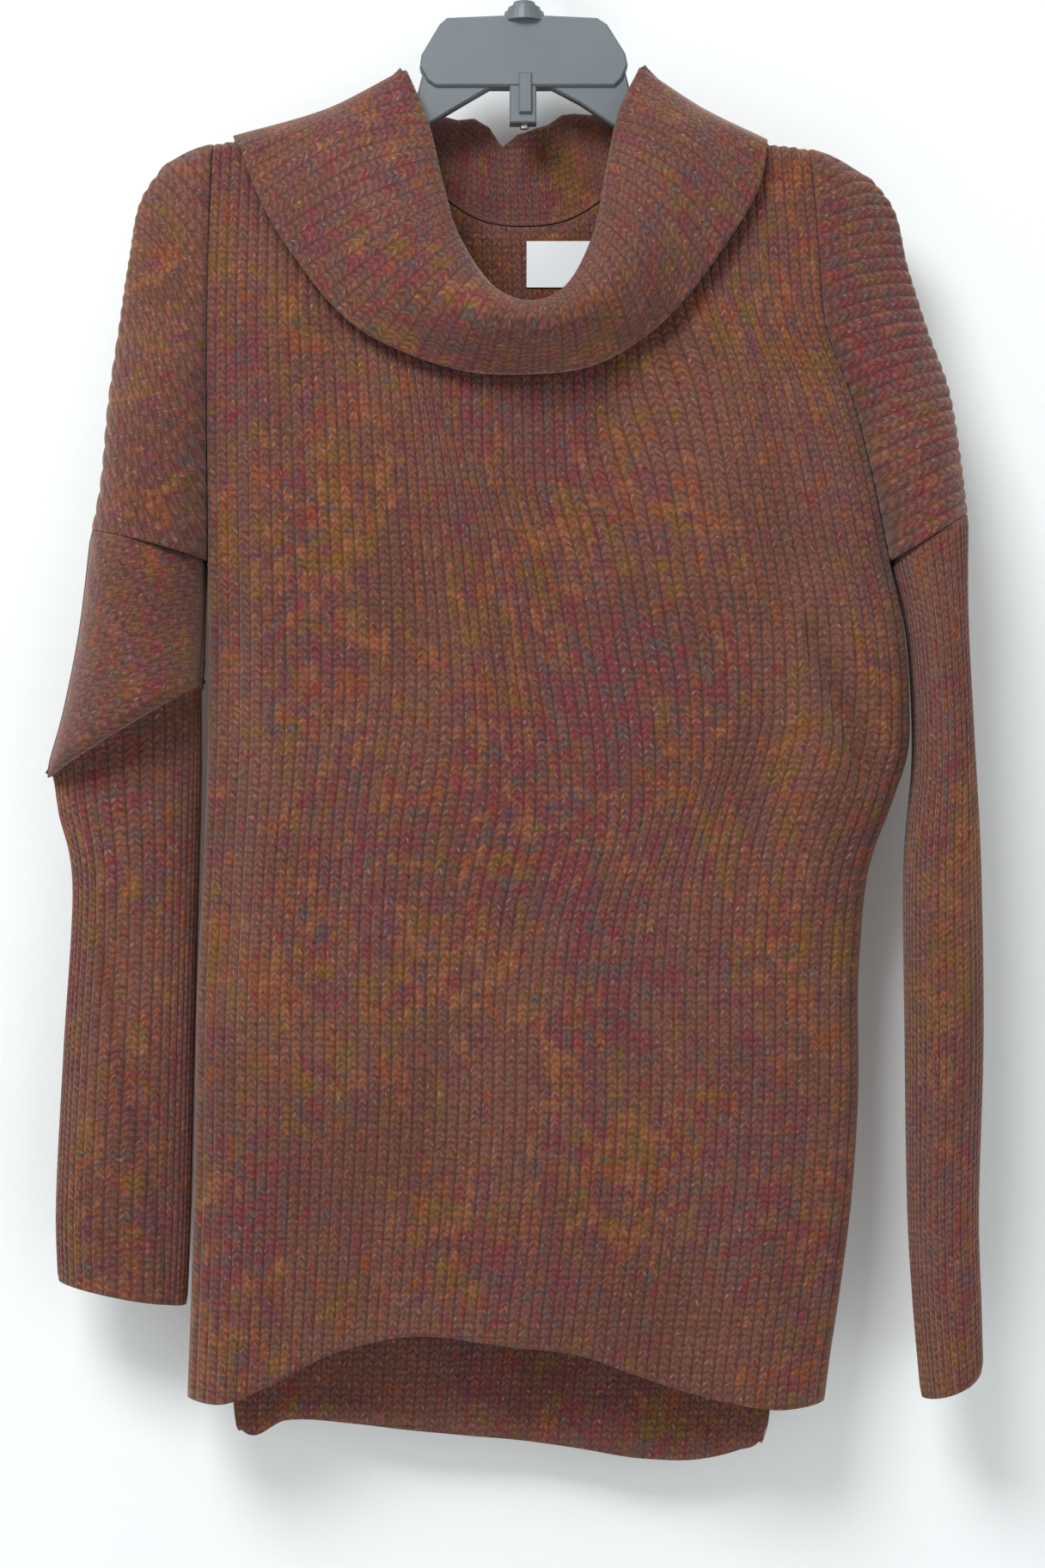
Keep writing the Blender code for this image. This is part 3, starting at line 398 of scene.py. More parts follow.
class Knit:
    """Closed knitted wall made of one or more ribbed grids."""

    def __init__(self):
        self.points, self.faces = [], []
        self.rib, self.cloth, self.valley = [], [], []

    def add(self, points, rib, cloth, valley):
        first = sum(len(part) for part in self.points)
        self.points.append(points.reshape(-1, 3))
        self.rib.append(rib.reshape(-1, 2))
        self.cloth.append(cloth.reshape(-1, 2))
        self.valley.append(valley.reshape(-1))
        return first + np.arange(valley.size).reshape(valley.shape)

    def quads(self, grid, turn):
        a, b, c, d = grid[:-1, :-1], grid[:-1, 1:], grid[1:, 1:], grid[1:, :-1]
        corners = (a, d, c, b) if turn else (a, b, c, d)
        self.faces.extend(np.stack(corners, axis=-1).reshape(-1, 4).tolist())

    def sheet(self, outside, lining, phase, fade, cloth, normals, stride=4):
        """One grid: ribbed outside, plain lining on every few rows, and the edges between them."""
        rise = rib_profile(phase) * fade + 0.5 * (1.0 - fade)
        rib = np.stack([phase, cloth[..., 1] / (COURSE * MM)], axis=-1)
        # Depth into each rib valley, which the yarn colour darkens as painted shade
        valley = (1.0 - rib_profile(phase)) * fade
        rows = list(range(0, len(outside), stride))
        if rows[-1] != len(outside) - 1:
            rows.append(len(outside) - 1)
        faces = np.cross(outside[1:-1, 2:] - outside[1:-1, :-2], outside[2:, 1:-1] - outside[:-2, 1:-1])
        turn = (faces * normals[1:-1, 1:-1]).sum() < 0
        ribbed = outside + normals * (RIB_HEIGHT * rise)[..., None]
        outer = self.add(ribbed, rib, cloth, valley)
        inner = self.add(lining[rows], rib[rows], cloth[rows], valley[rows])
        self.quads(outer, turn)
        self.quads(inner, not turn)
        for end, way in ((0, not turn), (-1, turn)):
            self.quads(np.stack([outer[end], inner[end]]), way)
        for end, way in ((0, turn), (-1, not turn)):
            for k, (low, high) in enumerate(zip(rows[:-1], rows[1:])):
                strip = [*outer[low:high + 1, end], inner[k + 1, end], inner[k, end]]
                self.faces.append([int(i) for i in (strip if way else strip[::-1])])

    def build(self, name, material):
        mesh = bpy.data.meshes.new(name)
        mesh.from_pydata((np.concatenate(self.points) * MM).tolist(), [], self.faces)
        corners = np.zeros(len(mesh.loops), np.int32)
        mesh.loops.foreach_get("vertex_index", corners)
        for layer, parts in (("rib", self.rib), ("cloth", self.cloth)):
            uv = mesh.uv_layers.new(name=layer)
            uv.data.foreach_set("uv", np.concatenate(parts)[corners].astype(np.float32).ravel())
        # Attribute that carries the depth into the rib valleys to the yarn colour, for its painted shade
        valley = mesh.attributes.new("valley", "FLOAT", "POINT")
        valley.data.foreach_set("value", np.concatenate(self.valley).astype(np.float32))
        shape = bmesh.new()
        shape.from_mesh(mesh)
        bmesh.ops.remove_doubles(shape, verts=shape.verts, dist=0.000002)
        shape.to_mesh(mesh)
        shape.free()
        mesh.materials.append(material)
        mesh.shade_smooth()
        piece = bpy.data.objects.new(name, mesh)
        bpy.context.scene.collection.objects.link(piece)
        return piece


class Value:
    """A shader socket: maths written on it adds Math nodes."""

    def __init__(self, finish, socket):
        self.finish = finish
        self.socket = socket

    def maths(self, operation, first, second):
        return self.finish.add("ShaderNodeMath", {"operation": operation}, {0: first, 1: second})

    def __add__(self, other):
        return self.maths("ADD", self, other)

    __radd__ = __add__

    def __sub__(self, other):
        return self.maths("SUBTRACT", self, other)

    def __rsub__(self, other):
        return self.maths("SUBTRACT", other, self)

    def __mul__(self, other):
        return self.maths("MULTIPLY", self, other)

    __rmul__ = __mul__

    def __truediv__(self, other):
        return self.maths("DIVIDE", self, other)

    def __rtruediv__(self, other):
        return self.maths("DIVIDE", other, self)

    def __pow__(self, other):
        return self.maths("POWER", self, other)


class Finish:
    """A material built from nodes."""

    def __init__(self, name, **constants):
        self.material = bpy.data.materials.new(name)
        self.material.use_nodes = True
        self.tree = self.material.node_tree
        self.shader = self.tree.nodes["Principled BSDF"]
        for socket, value in constants.items():
            self.socket(socket).default_value = value

    def socket(self, name):
        return self.shader.inputs[name.replace("_", " ").title().replace("Ior", "IOR")]

    def add(self, kind, settings, inputs, output=0):
        """One node: its settings first, then the values or links of its sockets."""
        node = self.tree.nodes.new(kind)
        for key, value in settings.items():
            if key == "stops":
                for place, colour in value[2:]:
                    node.color_ramp.elements.new(place)
                for element, (place, colour) in zip(node.color_ramp.elements, value):
                    element.position, element.color = place, (*colour, 1.0)
            else:
                setattr(node, key, value)
        for key, value in inputs.items():
            self.join(node.inputs[key], value)
        return Value(self, node.outputs[output])

    def join(self, socket, value):
        if isinstance(value, Value):
            self.tree.links.new(value.socket, socket)
        elif value is not None:
            socket.default_value = value

    def noise(self, place, scale, detail=2.0, roughness=0.5):
        return self.add("ShaderNodeTexNoise", {}, {"Vector": place, "Scale": scale, "Detail": detail,
                                                   "Roughness": roughness})

    def between(self, value, low, high):
        """0 below low and 1 above high."""
        return self.add("ShaderNodeMapRange", {"interpolation_type": "SMOOTHSTEP"},
                        {"Value": value, "From Min": low, "From Max": high})

    def mix(self, share, first, second, blend="MIX"):
        colours = [(*c, 1.0) if isinstance(c, tuple) else c for c in (first, second)]
        return self.add("ShaderNodeMix", {"data_type": "RGBA", "blend_type": blend},
                        {"Factor": share, 6: colours[0], 7: colours[1]}, 2)

    def stretch(self, place, scale, shift=(0.0, 0.0, 0.0)):
        return self.add("ShaderNodeMapping", {}, {"Vector": place, "Scale": scale, "Location": shift})

    def finish(self, **links):
        for socket, value in links.items():
            self.join(self.socket(socket), value)
        return self.material


def yarn_finish(name):
    """Space-dyed brushed yarn: rust, olive, plum and slate run into one another, pale hairs on top, with
    painted shade in the rib valleys, the stitch pits and the low parts of the stitch relief, and painted
    light on its raised parts.
    """
    yarn = Finish(name, sheen_weight=0.30, sheen_roughness=0.5, sheen_tint=(1.0, 0.80, 0.70, 1.0),
                  specular_ior_level=0.1)
    cloth = yarn.add("ShaderNodeUVMap", {"uv_map": "cloth"}, {})
    cloth_x = yarn.add("ShaderNodeSeparateXYZ", {}, {0: cloth}, 0)
    cloth_y = yarn.add("ShaderNodeSeparateXYZ", {}, {0: cloth}, 1)

    # Dye: blotches up to a finger wide, a little longer along the ribs, in two sets
    sets = []
    for size, shift in ((74.0, 0.0), (118.0, 7.0), (13.0, 3.0)):
        place = yarn.stretch(cloth, (size, size * 0.66, 1.0), (shift, shift, 0.0))
        for channel in range(3):
            colour = yarn.add("ShaderNodeTexNoise", {}, {"Vector": place, "Scale": 1.0, "Detail": 3.0,
                                                         "Roughness": 0.6}, 1)
            sets.append(yarn.add("ShaderNodeSeparateColor", {}, {0: colour}, channel))
    warm = (sets[6] - 0.5) * 0.5
    cool = (sets[7] - 0.5) * 0.5
    colour = yarn.mix(yarn.between(sets[8], 0.38, 0.62), (0.118, 0.047, 0.033), (0.150, 0.061, 0.045))
    dyes = ((sets[0] + warm, 0.52, (0.210, 0.055, 0.020)), (sets[1] + warm, 0.53, (0.150, 0.078, 0.016)),
            (sets[2] + cool, 0.52, (0.125, 0.036, 0.048)), (sets[3] + cool, 0.54, (0.085, 0.058, 0.058)),
            (sets[4] + warm, 0.56, (0.240, 0.085, 0.038)), (sets[5] + cool, 0.54, (0.165, 0.030, 0.034)))
    for field, low, dye in dyes:
        colour = yarn.mix(yarn.between(field, low, low + 0.13) * 0.72, colour, dye)
    rib = yarn.add("ShaderNodeUVMap", {"uv_map": "rib"}, {})
    # Depth into the rib valleys, for the painted shade below
    valley = yarn.add("ShaderNodeAttribute", {"attribute_name": "valley"}, {}, 2)
    across = yarn.add("ShaderNodeSeparateXYZ", {}, {0: rib}, 0)
    down = yarn.add("ShaderNodeSeparateXYZ", {}, {0: rib}, 1)

    # Stitches: two legs to a rib, leaning to its middle, never quite even
    phase = yarn.add("ShaderNodeMath", {"operation": "FRACT"}, {0: across})
    side = yarn.add("ShaderNodeMath", {"operation": "SIGN"}, {0: phase - 0.5})
    off_middle = (phase - 0.5) * side * 2.0
    wobble = yarn.noise(yarn.stretch(cloth, (210.0, 150.0, 1.0)), 1.0) - 0.5
    course = down + off_middle * 0.6 + wobble * 1.5
    leg = yarn.add("ShaderNodeMath", {"operation": "SINE"}, {0: course * 2.0 * math.pi}) * 0.5 + 0.5
    stitch = leg * (0.4 + 0.6 * yarn.between(off_middle, 0.0, 0.3)) * (1.0 - off_middle**4.0)

    # Fibres: dashes that lean with each leg, pits between them. The colour follows this relief, over the
    # yarn's own uneven tone: painted shade darkens its low parts and pits, and its raised parts are painted
    # lighter
    lean_x = cloth_x + side * cloth_y * 0.42
    leaning = yarn.add("ShaderNodeCombineXYZ", {}, {0: lean_x * 640.0, 1: cloth_y * 230.0, 2: side * 3.0})
    dash = yarn.noise(leaning, 1.0, 2.0, 0.6)
    fine = yarn.noise(yarn.stretch(cloth, (1300.0, 760.0, 1.0)), 1.0, 2.0, 0.7)
    pit = yarn.noise(yarn.stretch(cloth, (430.0, 330.0, 1.0), (5.0, 9.0, 0.0)), 1.0, 2.0, 0.6)
    relief = stitch * 0.30 + dash * 0.45 + fine * 0.35 + pit * 0.25
    # Painted shade and light: the colour is darkened where the stitch relief is low and lightened where it
    # stands up
    dark = yarn.between(relief, 0.34, 0.86) * 0.72 + 0.56
    colour = yarn.mix(1.0, colour, yarn.add("ShaderNodeCombineColor", {}, {0: dark, 1: dark, 2: dark}),
                      "MULTIPLY")
    # Painted shade: the rib valleys are darkened towards near-black
    colour = yarn.mix(yarn.between(valley, 0.45, 1.0) * 0.30, colour, (0.030, 0.012, 0.010))
    # Painted shade: the pits between the fibres are darkened further
    colour = yarn.mix(yarn.between(pit, 0.44, 0.30) * 0.35, colour, (0.022, 0.010, 0.010))
    hairs = yarn.between(dash * 0.75 + fine * 0.25 + stitch * 0.06, 0.615, 0.735)
    colour = yarn.mix(hairs * 0.60, colour, (0.44, 0.245, 0.20))

    height = stitch * 0.45 + dash * 0.6 + fine * 0.4 + pit * 0.3
    bump = yarn.add("ShaderNodeBump", {}, {"Strength": 0.7, "Distance": 0.0011, "Height": height})
    return yarn.finish(base_color=colour, roughness=yarn.between(fine, 0.2, 0.8) * 0.12 + 0.84, normal=bump)


yarn_material = yarn_finish("brushed marl yarn")

# Creases of the front: line, groove, its width, step beside it, its reach
FRONT_CREASES = [
    ([(163, -454), (172, -458), (184, -489), (194, -507), (200, -526), (201, -548)], 6.0, 7.0, 0.0, 20.0),
    ([(163, -452), (174, -444), (186, -441)], 5.0, 5.0, 0.0, 20.0),
    ([(-238, -408), (-214, -428), (-200, -448), (-188, -470)], -2.0, 4.0, 0.0, 20.0),
    ([(112, -168), (135, -182), (160, -192), (172, -200)], 2.0, 6.0, 2.0, 18.0),
]


def rows_of(count, top, foot):
    """Shares down a panel, closer together at the shoulder and at the hem."""
    middle = np.linspace(top, 1.0 - foot, count)
    return np.concatenate([np.linspace(0.0, top, 9)[:-1], middle, np.linspace(1.0 - foot, 1.0, 9)[1:]])


def knit_panel(name, panel, material):
    knit = Knit()
    u = np.linspace(0.0, 1.0, BODY_RIBS * COLUMNS_PER_RIB + 1)
    v = rows_of(96, 0.03, 0.04)
    points, normals = panel.body(u, v)
    down = run_along(points, 0)
    from_hem = down[-1][None] - down
    fade = smooth(0.0, 3.0, down) * smooth(0.0, 5.0, from_hem)
    phase = u[None] * BODY_RIBS + 0 * down
    cloth = np.stack([(u[None] - 0.5) * BODY_RIBS * RIB_WIDTH + 0 * down, points[..., 2]], axis=-1) * MM
    lining = points - normals * WALL
    lining[..., 1] = panel.side * np.maximum(panel.side * lining[..., 1], HALF_GAP)
    knit.sheet(points, lining, phase, fade, cloth, normals)
    for contour, table in ((LEFT_ARM, LEFT_EDGE), (RIGHT_ARM, RIGHT_EDGE)):
        w = np.linspace(0.0, 1.0, ARM_COLUMNS)
        v = np.linspace(0.0, 1.0, ARM_ROWS)
        points, normals = panel.arm(contour, table, w, v)
        out = run_along(points, 1)
        across, down = w[None], v[:, None]
        if table is LEFT_EDGE:
            phase = ARM_RIBS * (down - 0.16 * np.exp(-3.5 * down) * (1.0 - across) ** 2)
        else:
            lean = 0.35 + 0.65 * smooth(0.0, 0.5, down)
            phase = LEANING_RIBS_DOWN * down + LEANING_RIBS_ACROSS * across * lean
        fade = smooth(0.0, 0.05, across) * smooth(1.0, 0.97, across) * smooth(0.0, 0.01, down)
        fade = fade * smooth(1.0, 0.99, down)
        lining = points - normals * WALL
        lining[..., 1] = panel.side * np.maximum(panel.side * lining[..., 1], HALF_GAP)
        cloth = np.stack([points[..., 2] + 3.0 * contour[0, 0], points[..., 0]], axis=-1) * MM
        knit.sheet(points, lining, phase, fade, cloth, normals)
    return knit.build(name, material)


front_shape = PanelShape(-1, FRONT_NECK, FRONT_HEM, FRONT_FOLDS, FRONT_CREASES)
front = knit_panel("front_knit", front_shape, yarn_material)
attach(front, "sweater_and_hanger")
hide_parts("front_panel")

# Back of the sweater: the same rib knit and width as the front, with a longer, lower hem that
# shows below the front, and a short vent where the two meet at each side.
BACK_NECK = np.array([
    (-95.0, -127.0),
    (-87.0, -136.0),
    (-76.0, -150.0),
    (-60.0, -169.0),
    (-34.0, -190.0),
    (0.0, -197.0),
    (34.0, -190.0),
    (60.0, -170.0),
    (76.0, -152.0),
    (87.0, -138.0),
    (95.0, -129.5),
])
BACK_HEM = np.array([
    (-203.0, -903.0),
    (-183.0, -903.0),
    (-179.5, -906.0),
    (-177.0, -929.0),
    (-173.0, -934.0),
    (-146.0, -928.5),
    (-105.0, -930.5),
    (-36.0, -938.0),
    (40.0, -946.5),
    (73.0, -951.5),
    (106.0, -952.5),
    (132.0, -946.5),
    (144.0, -941.5),
    (147.5, -937.0),
    (150.0, -908.0),
    (154.0, -903.0),
    (181.0, -903.0),
])
BACK_FOLDS = np.array([
    (150.0, -300.0, 158.0, -640.0, 18.0, -6.0),
    (-150.0, -300.0, -156.0, -620.0, 18.0, -6.0),
    (-60.0, -420.0, -74.0, -900.0, 26.0, -4.0),
    (48.0, -380.0, 60.0, -900.0, 26.0, -4.0),
    (-8.0, -460.0, -4.0, -900.0, 24.0, 3.0),
])
back_shape = PanelShape(1, BACK_NECK, BACK_HEM, BACK_FOLDS, [])
back = knit_panel("back_knit", back_shape, yarn_material)
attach(back, "sweater_and_hanger")
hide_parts("back_panel")

# Sleeves: rib knit tubes linked to the dropped shoulders, with the ribs running down to a plain
# cuff. The right one is bent at the elbow, so its upper part folds over the lower.
SLEEVE_RIBS = 40
ELBOW_FOLD_SHARE = 0.27
SLEEVE_CLEARANCE = 3.0
# Sections: height at the inside and outside edge, inside and outside place across, half depth
# in front and behind, middle of the depth, and fullest share across
LEFT_SLEEVE = np.array([
    (-450.0, -440.0, 233.5, 265.5, 47.0, 43.0, -1.0, 0.50),
    (-520.0, -512.0, 237.0, 269.0, 48.0, 44.0, -2.0, 0.48),
    (-590.0, -585.0, 231.5, 273.0, 48.0, 44.0, -3.0, 0.48),
    (-690.0, -690.0, 232.0, 274.5, 47.0, 43.0, -3.0, 0.50),
    (-790.0, -790.0, 233.0, 271.5, 45.0, 41.0, -3.0, 0.55),
    (-850.0, -850.0, 236.0, 273.0, 42.0, 38.0, -3.0, 0.60),
    (-908.0, -885.0, 241.0, 274.0, 40.0, 36.0, -3.0, 0.60),
])
RIGHT_SLEEVE = np.array([
    (-440.0, -446.0, -194.0, -267.0, 46.0, 40.0, -2.0, 0.48),
    (-464.0, -496.0, -194.5, -276.5, 51.0, 37.0, -4.0, 0.42),
    (-477.0, -524.0, -195.0, -284.0, 51.0, 31.0, -6.0, 0.40),
    (-480.0, -534.0, -195.3, -285.5, 44.0, 29.0, -6.0, 0.40),
    (-470.0, -529.0, -196.0, -284.5, 30.0, 28.0, -3.0, 0.42),
    (-480.0, -538.0, -196.5, -282.5, 21.0, 27.0, -1.0, 0.55),
    (-530.0, -556.0, -196.5, -280.0, 24.0, 27.0, 0.0, 0.50),
    (-600.0, -600.0, -198.5, -272.0, 25.0, 25.0, 2.0, 0.45),
    (-700.0, -700.0, -201.0, -277.5, 24.0, 24.0, 2.0, 0.50),
    (-790.0, -790.0, -203.0, -282.0, 23.0, 23.0, 2.0, 0.50),
    (-853.0, -838.0, -205.5, -281.0, 22.0, 22.0, 2.0, 0.50),
])
LEFT_CREASES = [
    ([(247, -470), (248, -600), (249, -720), (250, -810), (253, -880)], 3.5, 7.0, 0.0, 20.0),
]
RIGHT_CREASES = [
    ([(-262, -606), (-252, -640), (-245, -687), (-238, -720), (-231, -753), (-224, -784), (-219, -810),
      (-217, -842), (-216, -860)], 1.5, 4.0, -4.0, 60.0),
    ([(-201, -500), (-200, -560), (-200, -640)], 4.0, 4.0, 0.0, 20.0),
    ([(-200, -508), (-214, -520), (-228, -540), (-236, -566)], 2.5, 9.0, 0.0, 20.0),
]


def seam_section(panel, contour, table):
    """First section of a sleeve, one gap below the edge of the dropped shoulder."""
    under = panel.edge(table, np.array([UNDERARM]))[0]
    end = contour[-1]
    seam = unit((end - under)[None])[0]
    down = np.array([seam[1], -seam[0]])
    down *= math.copysign(2 * HALF_GAP, -down[1])
    depths = [float(by_height(ARM_DEPTH, column, end[1])) for column in (1, 2)]
    start = under + down + seam * SLEEVE_CLEARANCE
    return (start[1], end[1] + down[1], start[0], end[0] + down[0], *depths, 0.0, 0.5)


def even_turn(half_width, half_depth, count):
    """Angles round an oval at even steps of its length, from its inside edge."""
    turn = np.linspace(0.0, 2 * math.pi, 721)
    speed = np.hypot(half_width * np.sin(turn), half_depth * np.cos(turn))
    run = np.concatenate([[0.0], np.cumsum((speed[1:] + speed[:-1]) / 2)])
    return np.interp(np.linspace(0.0, run[-1], count), run, turn)


def knit_sleeve(name, sections, creases, material, rows=96):
    sections = np.array(sections)
    knit = Knit()
    keys = np.arange(len(sections))
    steps = np.hypot(np.diff(sections[:, :2].mean(axis=1)), np.diff(sections[:, 4]))
    run = np.concatenate([[0.0], np.cumsum(steps)])
    shares = np.interp(np.linspace(0.0, run[-1], rows), run, keys)
    rings = np.stack([spline(keys, sections[:, column], shares) for column in range(8)], axis=-1)
    turns = even_turn(24.0, 42.0, SLEEVE_RIBS * COLUMNS_PER_RIB + 1)
    z_in, z_out, x_in, x_out, ahead, behind, middle, fullest = (rings[:, [k]] for k in range(8))
    w = ((1.0 - np.cos(turns)) / 2)[None]
    in_front = (np.sin(turns) > 0)[None]
    depth = np.where(in_front, ahead, behind) * lens(w, fullest) * np.where(in_front, -1.0, 1.0)
    x = x_in + (x_out - x_in) * w
    z = z_in + (z_out - z_in) * w
    fold = np.zeros_like(x)
    for line, groove, width, step, reach in creases:
        fold = fold + crease(x, z, line, groove, width, step, reach)
    y = middle + depth + fold * in_front * lens(w, 0.5)
    points = np.stack([x, y, z], axis=-1)
    wrapped = np.concatenate([points[:, -2:-1], points, points[:, 1:2]], axis=1)
    normals = unit(np.cross(np.gradient(wrapped, axis=1)[:, 1:-1], np.gradient(points, axis=0)))
    away = points - points.mean(axis=1, keepdims=True)
    normals *= math.copysign(1.0, (normals * away).sum())
    down = run_along(points, 0)
    ring = np.linspace(0.0, 1.0, len(turns))[None]
    fade = smooth(0.0, 2.0, down) * smooth(0.0, 5.0, down[-1][None] - down)
    phase = ring * SLEEVE_RIBS + 0 * down
    if sections[-1, 2] < 0.0:
        above_fold = down < down[int(rows * ELBOW_FOLD_SHARE)][None]
        slant = in_front * above_fold * smooth(0.0, 0.12, w) * smooth(1.0, 0.9, w)
        leaning = (z * 0.86 - x * 0.5) / RIB_WIDTH
        phase = np.where(slant > 0.02, leaning, phase)
        fade = fade * np.where(slant > 0.02, slant, 1.0)
    cloth = np.stack([ring * SLEEVE_RIBS * RIB_WIDTH + 0 * down + 3.0 * x_in[0], -down], axis=-1) * MM
    knit.sheet(points, points - normals * WALL, phase, fade, cloth, normals)
    return knit.build(name, material)


for name, contour, table, sections, creases, cut, cut_area in (
        ("left_sleeve", LEFT_ARM, LEFT_EDGE, LEFT_SLEEVE, LEFT_CREASES, (0.21, 0.53), 0.100),
        ("right_sleeve", RIGHT_ARM, RIGHT_EDGE, RIGHT_SLEEVE, RIGHT_CREASES, (0.21, 0.55), 0.098)):
    rings = [seam_section(front_shape, contour, table), *sections]
    sleeve = knit_sleeve(name + "_knit", rings, creases, yarn_material)
    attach(sleeve, "sweater_and_hanger")
    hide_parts(name)

# Collar: a wide rib knit tube linked to the neck and folded outwards, so that its free edge lies
# over the shoulders. The back of the roll stands a little lower and is uneven along the top.
COLLAR_RIBS = 110
COLLAR_GAP = 0.5
COLLAR_GAP_AT_SHOULDER = 1.5
# Stations round the neck, with the side that lies against the sweater: share round the neck, then
# the crown of the roll, the middle of the fall and the free edge, each across, depth and height
COLLAR = np.array([
    (0.000, 69.5, 0.0, -105.0, 108.0, -2.0, -129.8, 147.0, -1.0, -148.5),
    (0.025, 68.0, -10.0, -110.0, 104.0, -21.0, -135.5, 145.0, -23.0, -157.0),
    (0.055, 58.0, -20.0, -132.0, 97.0, -38.0, -150.0, 141.0, -29.0, -180.0),
    (0.110, 49.0, -37.0, -172.0, 82.0, -58.0, -194.0, 114.0, -40.0, -227.0),
    (0.165, 40.0, -52.0, -217.0, 60.0, -74.0, -240.0, 78.0, -47.0, -270.0),
    (0.210, 24.0, -60.0, -248.0, 33.0, -84.0, -267.0, 40.0, -48.0, -293.0),
    (0.250, 5.0, -62.0, -258.0, 4.0, -87.0, -275.0, 0.0, -48.0, -298.0),
    (0.290, -16.0, -60.0, -250.0, -26.0, -84.0, -269.0, -40.0, -48.0, -295.0),
    (0.335, -37.0, -50.0, -219.0, -64.0, -73.0, -246.0, -94.0, -46.0, -273.0),
    (0.390, -48.0, -35.0, -183.0, -89.0, -57.0, -204.0, -136.0, -39.0, -227.0),
    (0.445, -59.0, -20.0, -138.0, -108.0, -35.0, -151.0, -161.0, -28.0, -182.0),
    (0.475, -69.5, -10.0, -112.0, -114.0, -21.0, -136.0, -170.0, -23.0, -157.0),
    (0.500, -71.5, 0.0, -107.0, -120.0, 2.0, -130.5, -176.0, 1.0, -146.5),
    (0.525, -70.0, 10.0, -111.0, -112.0, 21.0, -137.0, -168.0, 23.0, -156.0),
    (0.560, -62.0, 20.0, -123.0, -102.0, 36.0, -144.0, -146.0, 30.0, -178.0),
    (0.640, -45.0, 31.0, -129.0, -72.0, 46.0, -153.0, -98.0, 34.0, -196.0),
    (0.710, -22.0, 34.0, -135.0, -33.0, 50.0, -159.0, -43.0, 34.0, -205.0),
    (0.750, -4.0, 35.0, -139.0, -4.0, 51.0, -163.0, -4.0, 34.0, -207.0),
    (0.790, 16.0, 34.0, -134.0, 28.0, 50.0, -159.0, 39.0, 34.0, -205.0),
    (0.860, 41.0, 30.0, -128.0, 66.0, 45.0, -152.0, 90.0, 33.0, -195.0),
    (0.940, 58.0, 19.0, -122.0, 94.0, 35.0, -143.0, 131.0, 30.0, -176.0),
    (0.975, 68.0, 10.0, -109.5, 103.0, 21.0, -136.0, 144.0, 23.0, -157.5),
    (1.000, 69.5, 0.0, -105.0, 108.0, -2.0, -129.8, 147.0, -1.0, -148.5),
])
COLLAR_KEYS = (0.0, 0.3, 0.65, 1.0)
# Uneven top of the back of the roll: share round the neck, rise of the crown
BACK_WAVE = np.array([
    (0.600, 0.0),
    (0.660, 1.0),
    (0.690, 4.5),
    (0.712, 1.5),
    (0.731, -8.5),
    (0.750, 1.0),
    (0.770, 2.5),
    (0.785, 2.0),
    (0.805, 6.0),
    (0.825, 5.0),
    (0.860, 1.0),
    (0.900, 0.0),
])
# Creases of the fall, seen from the front: line, groove, its width, step beside it, its reach
COLLAR_CREASES = [
    ([(107, -140), (97, -175), (88, -202), (74, -234), (52, -264), (40, -274), (15, -284), (-10, -290)],
     3.0, 4.0, 3.0, 22.0),
    ([(98, -168), (110, -170), (120, -178), (129, -187), (134, -196)], 3.5, 2.5, 3.0, 16.0),
]


def neck_points(share):
    """Neck seam round the neck: outer point, outward normal and the way up from the panel."""
    points, normals, upwards = (np.zeros((len(share), 3)) for _ in range(3))
    for index, at in enumerate(share):
        panel, half = (front_shape, at * 2) if at <= 0.5 else (back_shape, 2 - at * 2)
        near = np.clip([half - 0.01, half, half + 0.01], 0.0, 1.0)
        x = along(panel.neck[::-1], near)[:, 0]
        u = (x - RIGHT_EDGE[0, 0]) / (LEFT_EDGE[0, 0] - RIGHT_EDGE[0, 0])
        grid, grid_normals = panel.body(np.concatenate([u, u + 0.002]), np.array([0.0, 0.004]))
        point = grid[0, 1]
        run = grid[0, 2] - grid[0, 0]
        rest = shoulder_rest(point[0], point[2])
        normal = grid_normals[0, 1] if rest > 0 else np.array([0.0, panel.side, 0.0])
        if half in (0.0, 1.0):
            run = np.array([0.0, 1.0, 0.0])
            normal = shoulder_normal(point[:1])[0]
        up = unit(np.cross(normal, run)[None])[0]
        inwards = -math.copysign(0.5, point[0]) * up[0]
        points[index], normals[index] = point, normal
        upwards[index] = up * math.copysign(1.0, up[2] + inwards)
    return points, normals, upwards


